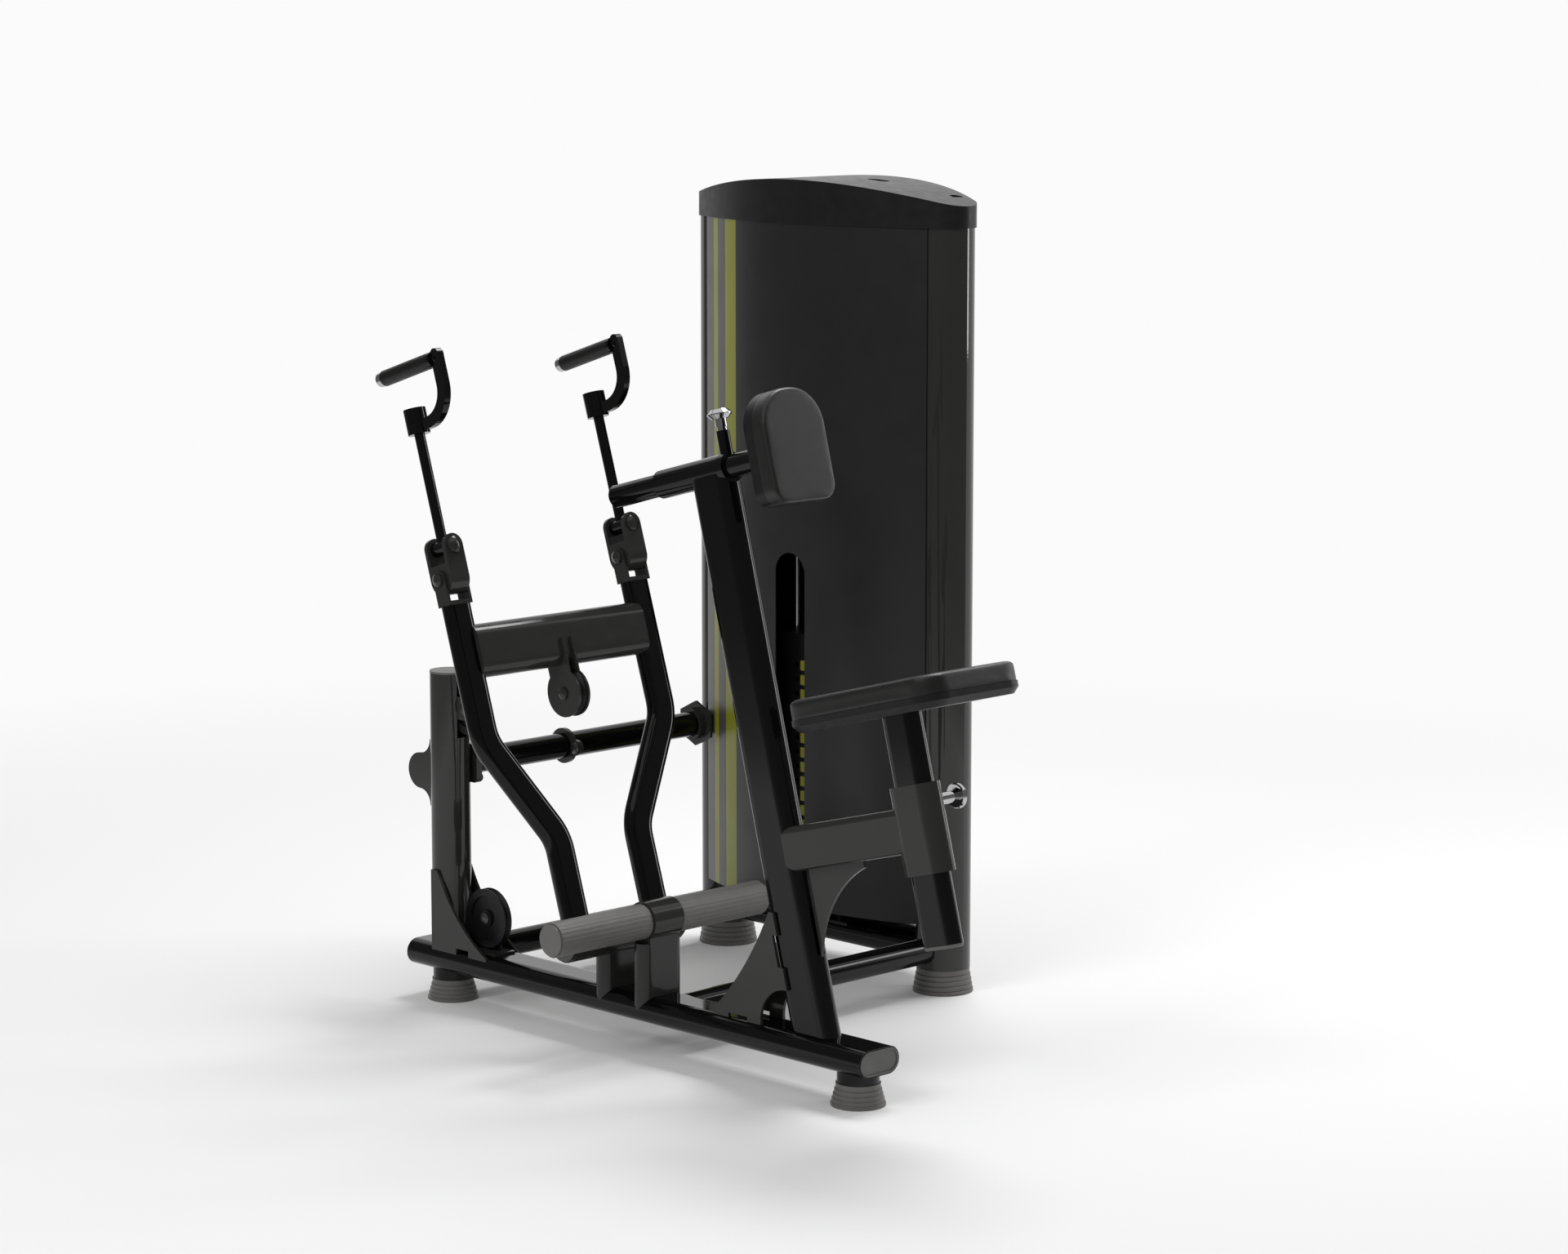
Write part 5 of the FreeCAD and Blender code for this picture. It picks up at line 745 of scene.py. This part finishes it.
class ROW_OT_finishes(bpy.types.Operator):
    """Finishes of the carried-over solids"""

    bl_idname = "row.finishes"
    bl_label = "Finishes"

    def execute(self, context):
        c = colours()
        by_slot = {}
        for entry in frame["record"]["subparts"]:
            by_slot.setdefault(entry["material_slot"], []).append(entry["node"])
        glossy = BENT_TUBES + ROUND_POSTS
        tubes = [node for node in by_slot["gloss_black"] if node in BENT_TUBES]
        welded = [node for node in by_slot["gloss_black"] if node not in glossy]
        deep = powder_coat("Gloss powder coat", c.coat, bend=1.34, low=0.05, high=0.1)
        soft = powder_coat("Semi-gloss powder coat", c.welded, bend=1.36, low=0.09, high=0.15)
        bright = powder_coat("Gloss post coat", c.welded, bend=1.44, low=0.03, high=0.06)
        cap = moulded_plastic("Moulded black plastic", c.cap, roughness=0.36)
        plug = moulded_plastic("Grey plug plastic", c.plug, roughness=0.4)
        nylon = moulded_plastic("Pulley nylon", c.nylon, roughness=0.4)
        dress(deep, *tubes)
        dress(soft, *welded)
        dress(bright, *ROUND_POSTS)
        dress(striped_panel_coat(), "front_panel")
        dress(plain_panel_coat(), "back_panel")
        dress(cap, *by_slot["cap_plastic"])
        dress(plug, *by_slot["grey_plastic"])
        dress(nylon, *by_slot["pulley_nylon"])
        dress(cast_rubber("Grey rubber", c.rubber, bend=1.5), *by_slot["grey_rubber"])
        dress(cast_rubber("Black rubber", c.grip, bend=1.36), *by_slot["black_rubber"])
        dress(chrome_plate(), *by_slot["chrome"])
        dress(blackened_steel(), *by_slot["dark_steel"])
        dress(painted_casting(), *by_slot["plate_paint"])
        return {"FINISHED"}


# Studio


def seen_by(tree, *rays):
    """One for the named kinds of ray, and zero for all others."""
    path = add(tree, "LightPath")
    found = path.outputs[rays[0]]
    for ray in rays[1:]:
        either = add(tree, "Math", {0: found, 1: path.outputs[ray]}, operation="MAXIMUM")
        found = either.outputs[0]
    return found


class ROW_OT_stage(bpy.types.Operator):
    """Pale floor, soft lamps, white surroundings and the camera"""

    bl_idname = "row.stage"
    bl_label = "Studio"

    def execute(self, context):
        self.surroundings()
        self.floor()
        self.curtain()
        for lamp in LAMPS:
            self.lamp(*lamp)
        self.camera()
        return {"FINISHED"}

    def surroundings(self):
        """A world that looks nearly white but lights the room only dimly."""
        scene = bpy.context.scene
        scene.view_settings.view_transform = "Standard"
        world = bpy.data.worlds.new("Studio")
        world.use_nodes = True
        scene.world = world
        tree = world.node_tree
        tree.nodes.clear()
        seen = seen_by(tree, "Is Camera Ray", "Is Glossy Ray", "Is Transmission Ray")
        shown = add(tree, "Background", {"Color": colours().background, "Strength": 1.0})
        lit = add(tree, "Background", {"Color": WHITE, "Strength": ROOM_LIGHT})
        both = add(tree, "MixShader", {0: seen, 1: lit.outputs[0], 2: shown.outputs[0]})
        add(tree, "OutputWorld", {"Surface": both.outputs[0]})

    def floor(self):
        """Paper that keeps the shadow near the machine and glows like the background
        further away, where the camera and reflections see it."""
        deselect()
        bpy.ops.mesh.primitive_plane_add(size=FLOOR_SPAN, location=FLOOR_MIDDLE)
        floor = bpy.context.object
        floor.name = "studio_floor"
        settle(floor, Matrix.Identity(4))
        material, tree = empty_material("Seamless paper")
        sockets = {"Base Color": colours().floor, "Roughness": PAPER_ROUGHNESS}
        paper = add(tree, "BsdfPrincipled", sockets)
        where = add(tree, "TexCoord").outputs["Object"]
        away = add(tree, "VectorMath", {0: where, 1: FADE_MIDDLE}, operation="DISTANCE")
        far = add(
            tree,
            "MapRange",
            {"Value": away.outputs["Value"], "From Min": FADE_START, "From Max": FADE_END},
            interpolation_type="SMOOTHSTEP",
        )
        seen = seen_by(tree, "Is Camera Ray", "Is Glossy Ray")
        fade = add(tree, "Math", {0: far.outputs["Result"], 1: seen}, operation="MULTIPLY")
        glow = add(tree, "Emission", {"Color": colours().background, "Strength": 1.0})
        sockets = {0: fade.outputs[0], 1: paper.outputs[0], 2: glow.outputs[0]}
        both = add(tree, "MixShader", sockets)
        add(tree, "OutputMaterial", {"Surface": both.outputs[0]})
        floor.data.materials.append(material)

    def curtain(self):
        """A curved curtain round the front and left of the studio, which only reflections
        meet. It darkens upwards, so black faces go deep above and catch the floor below."""
        deselect()
        bpy.ops.mesh.primitive_cylinder_add(
            vertices=CURTAIN_SIDES,
            radius=CURTAIN_RADIUS,
            depth=CURTAIN_TALL,
            end_fill_type="NOTHING",
            location=(0, 0, 0),
        )
        curtain = bpy.context.object
        curtain.name = "studio_curtain"
        facing = Vector((math.cos(CURTAIN_FACING), math.sin(CURTAIN_FACING), 0))
        edit(curtain)
        pick(
            curtain,
            lambda f: facing.angle(Vector((*f.calc_center_median().xy, 0))) > CURTAIN_REACH,
            "faces",
        )
        bpy.ops.mesh.delete(type="FACE")
        leave_edit()
        settle(curtain, Matrix.Translation(CURTAIN_MIDDLE))
        material, tree = empty_material("Grey curtain cloth")
        where = add(tree, "TexCoord").outputs["Object"]
        height = add(tree, "SeparateXYZ", {"Vector": where}).outputs["Z"]
        tone = add(tree, "ValToRGB", {"Fac": height}, stops=CURTAIN_TONES)
        glow = add(tree, "Emission", {"Color": tone.outputs["Color"], "Strength": 1.0})
        add(tree, "OutputMaterial", {"Surface": glow.outputs[0]})
        curtain.data.materials.append(material)
        for ray in ("camera", "diffuse", "transmission", "shadow"):
            setattr(curtain, "visible_" + ray, False)

    def lamp(self, name, place, target, size, power):
        """A rectangular softbox that the camera doesn't see."""
        data = bpy.data.lights.new(name, "AREA")
        data.shape = "RECTANGLE"
        data.size, data.size_y = size
        data.energy = power
        lamp = bpy.data.objects.new(name, data)
        lamp.visible_camera = False
        bpy.context.scene.collection.objects.link(lamp)
        lamp.location = place
        aim = Vector(target) - Vector(place)
        lamp.rotation_euler = aim.to_track_quat("-Z", "Y").to_euler()

    def camera(self):
        data = bpy.data.cameras.new("Camera")
        data.sensor_width = SENSOR_WIDTH
        data.lens = LENS
        data.clip_end = VIEW_END
        camera = bpy.data.objects.new("Camera", data)
        bpy.context.scene.collection.objects.link(camera)
        camera.location = CAMERA_PLACE
        camera.rotation_euler = CAMERA_TURN
        bpy.context.scene.camera = camera


class ROW_PT_panel(bpy.types.Panel):
    """Lists the machine's operators, sizes and colours"""

    bl_label = "Seated row machine"
    bl_idname = "ROW_PT_panel"
    bl_space_type = "VIEW_3D"
    bl_region_type = "UI"
    bl_category = "Row Machine"

    def draw(self, context):
        for step in STEPS:
            self.layout.operator(step.bl_idname)
        for group in (context.scene.row_sizes, context.scene.row_colours):
            for name in group.bl_rna.properties.keys():
                if name not in ("rna_type", "name"):
                    self.layout.prop(group, name)


STEPS = (
    ROW_OT_stage,
    ROW_OT_finishes,
    ROW_OT_seat_cushion,
    ROW_OT_chest_cushion,
    ROW_OT_plate_labels,
)
CLASSES = (RowSizes, RowColours, *STEPS, ROW_PT_panel)


def register():
    for item in CLASSES:
        bpy.utils.register_class(item)
    bpy.types.Scene.row_sizes = bpy.props.PointerProperty(type=RowSizes)
    bpy.types.Scene.row_colours = bpy.props.PointerProperty(type=RowColours)


def unregister():
    del bpy.types.Scene.row_colours
    del bpy.types.Scene.row_sizes
    for item in reversed(CLASSES):
        bpy.utils.unregister_class(item)


def main():
    register()
    bpy.ops.row.stage()
    bpy.ops.row.finishes()
    bpy.ops.row.seat_cushion()
    bpy.ops.row.chest_cushion()
    bpy.ops.row.plate_labels()


if __name__ == "__main__":
    main()
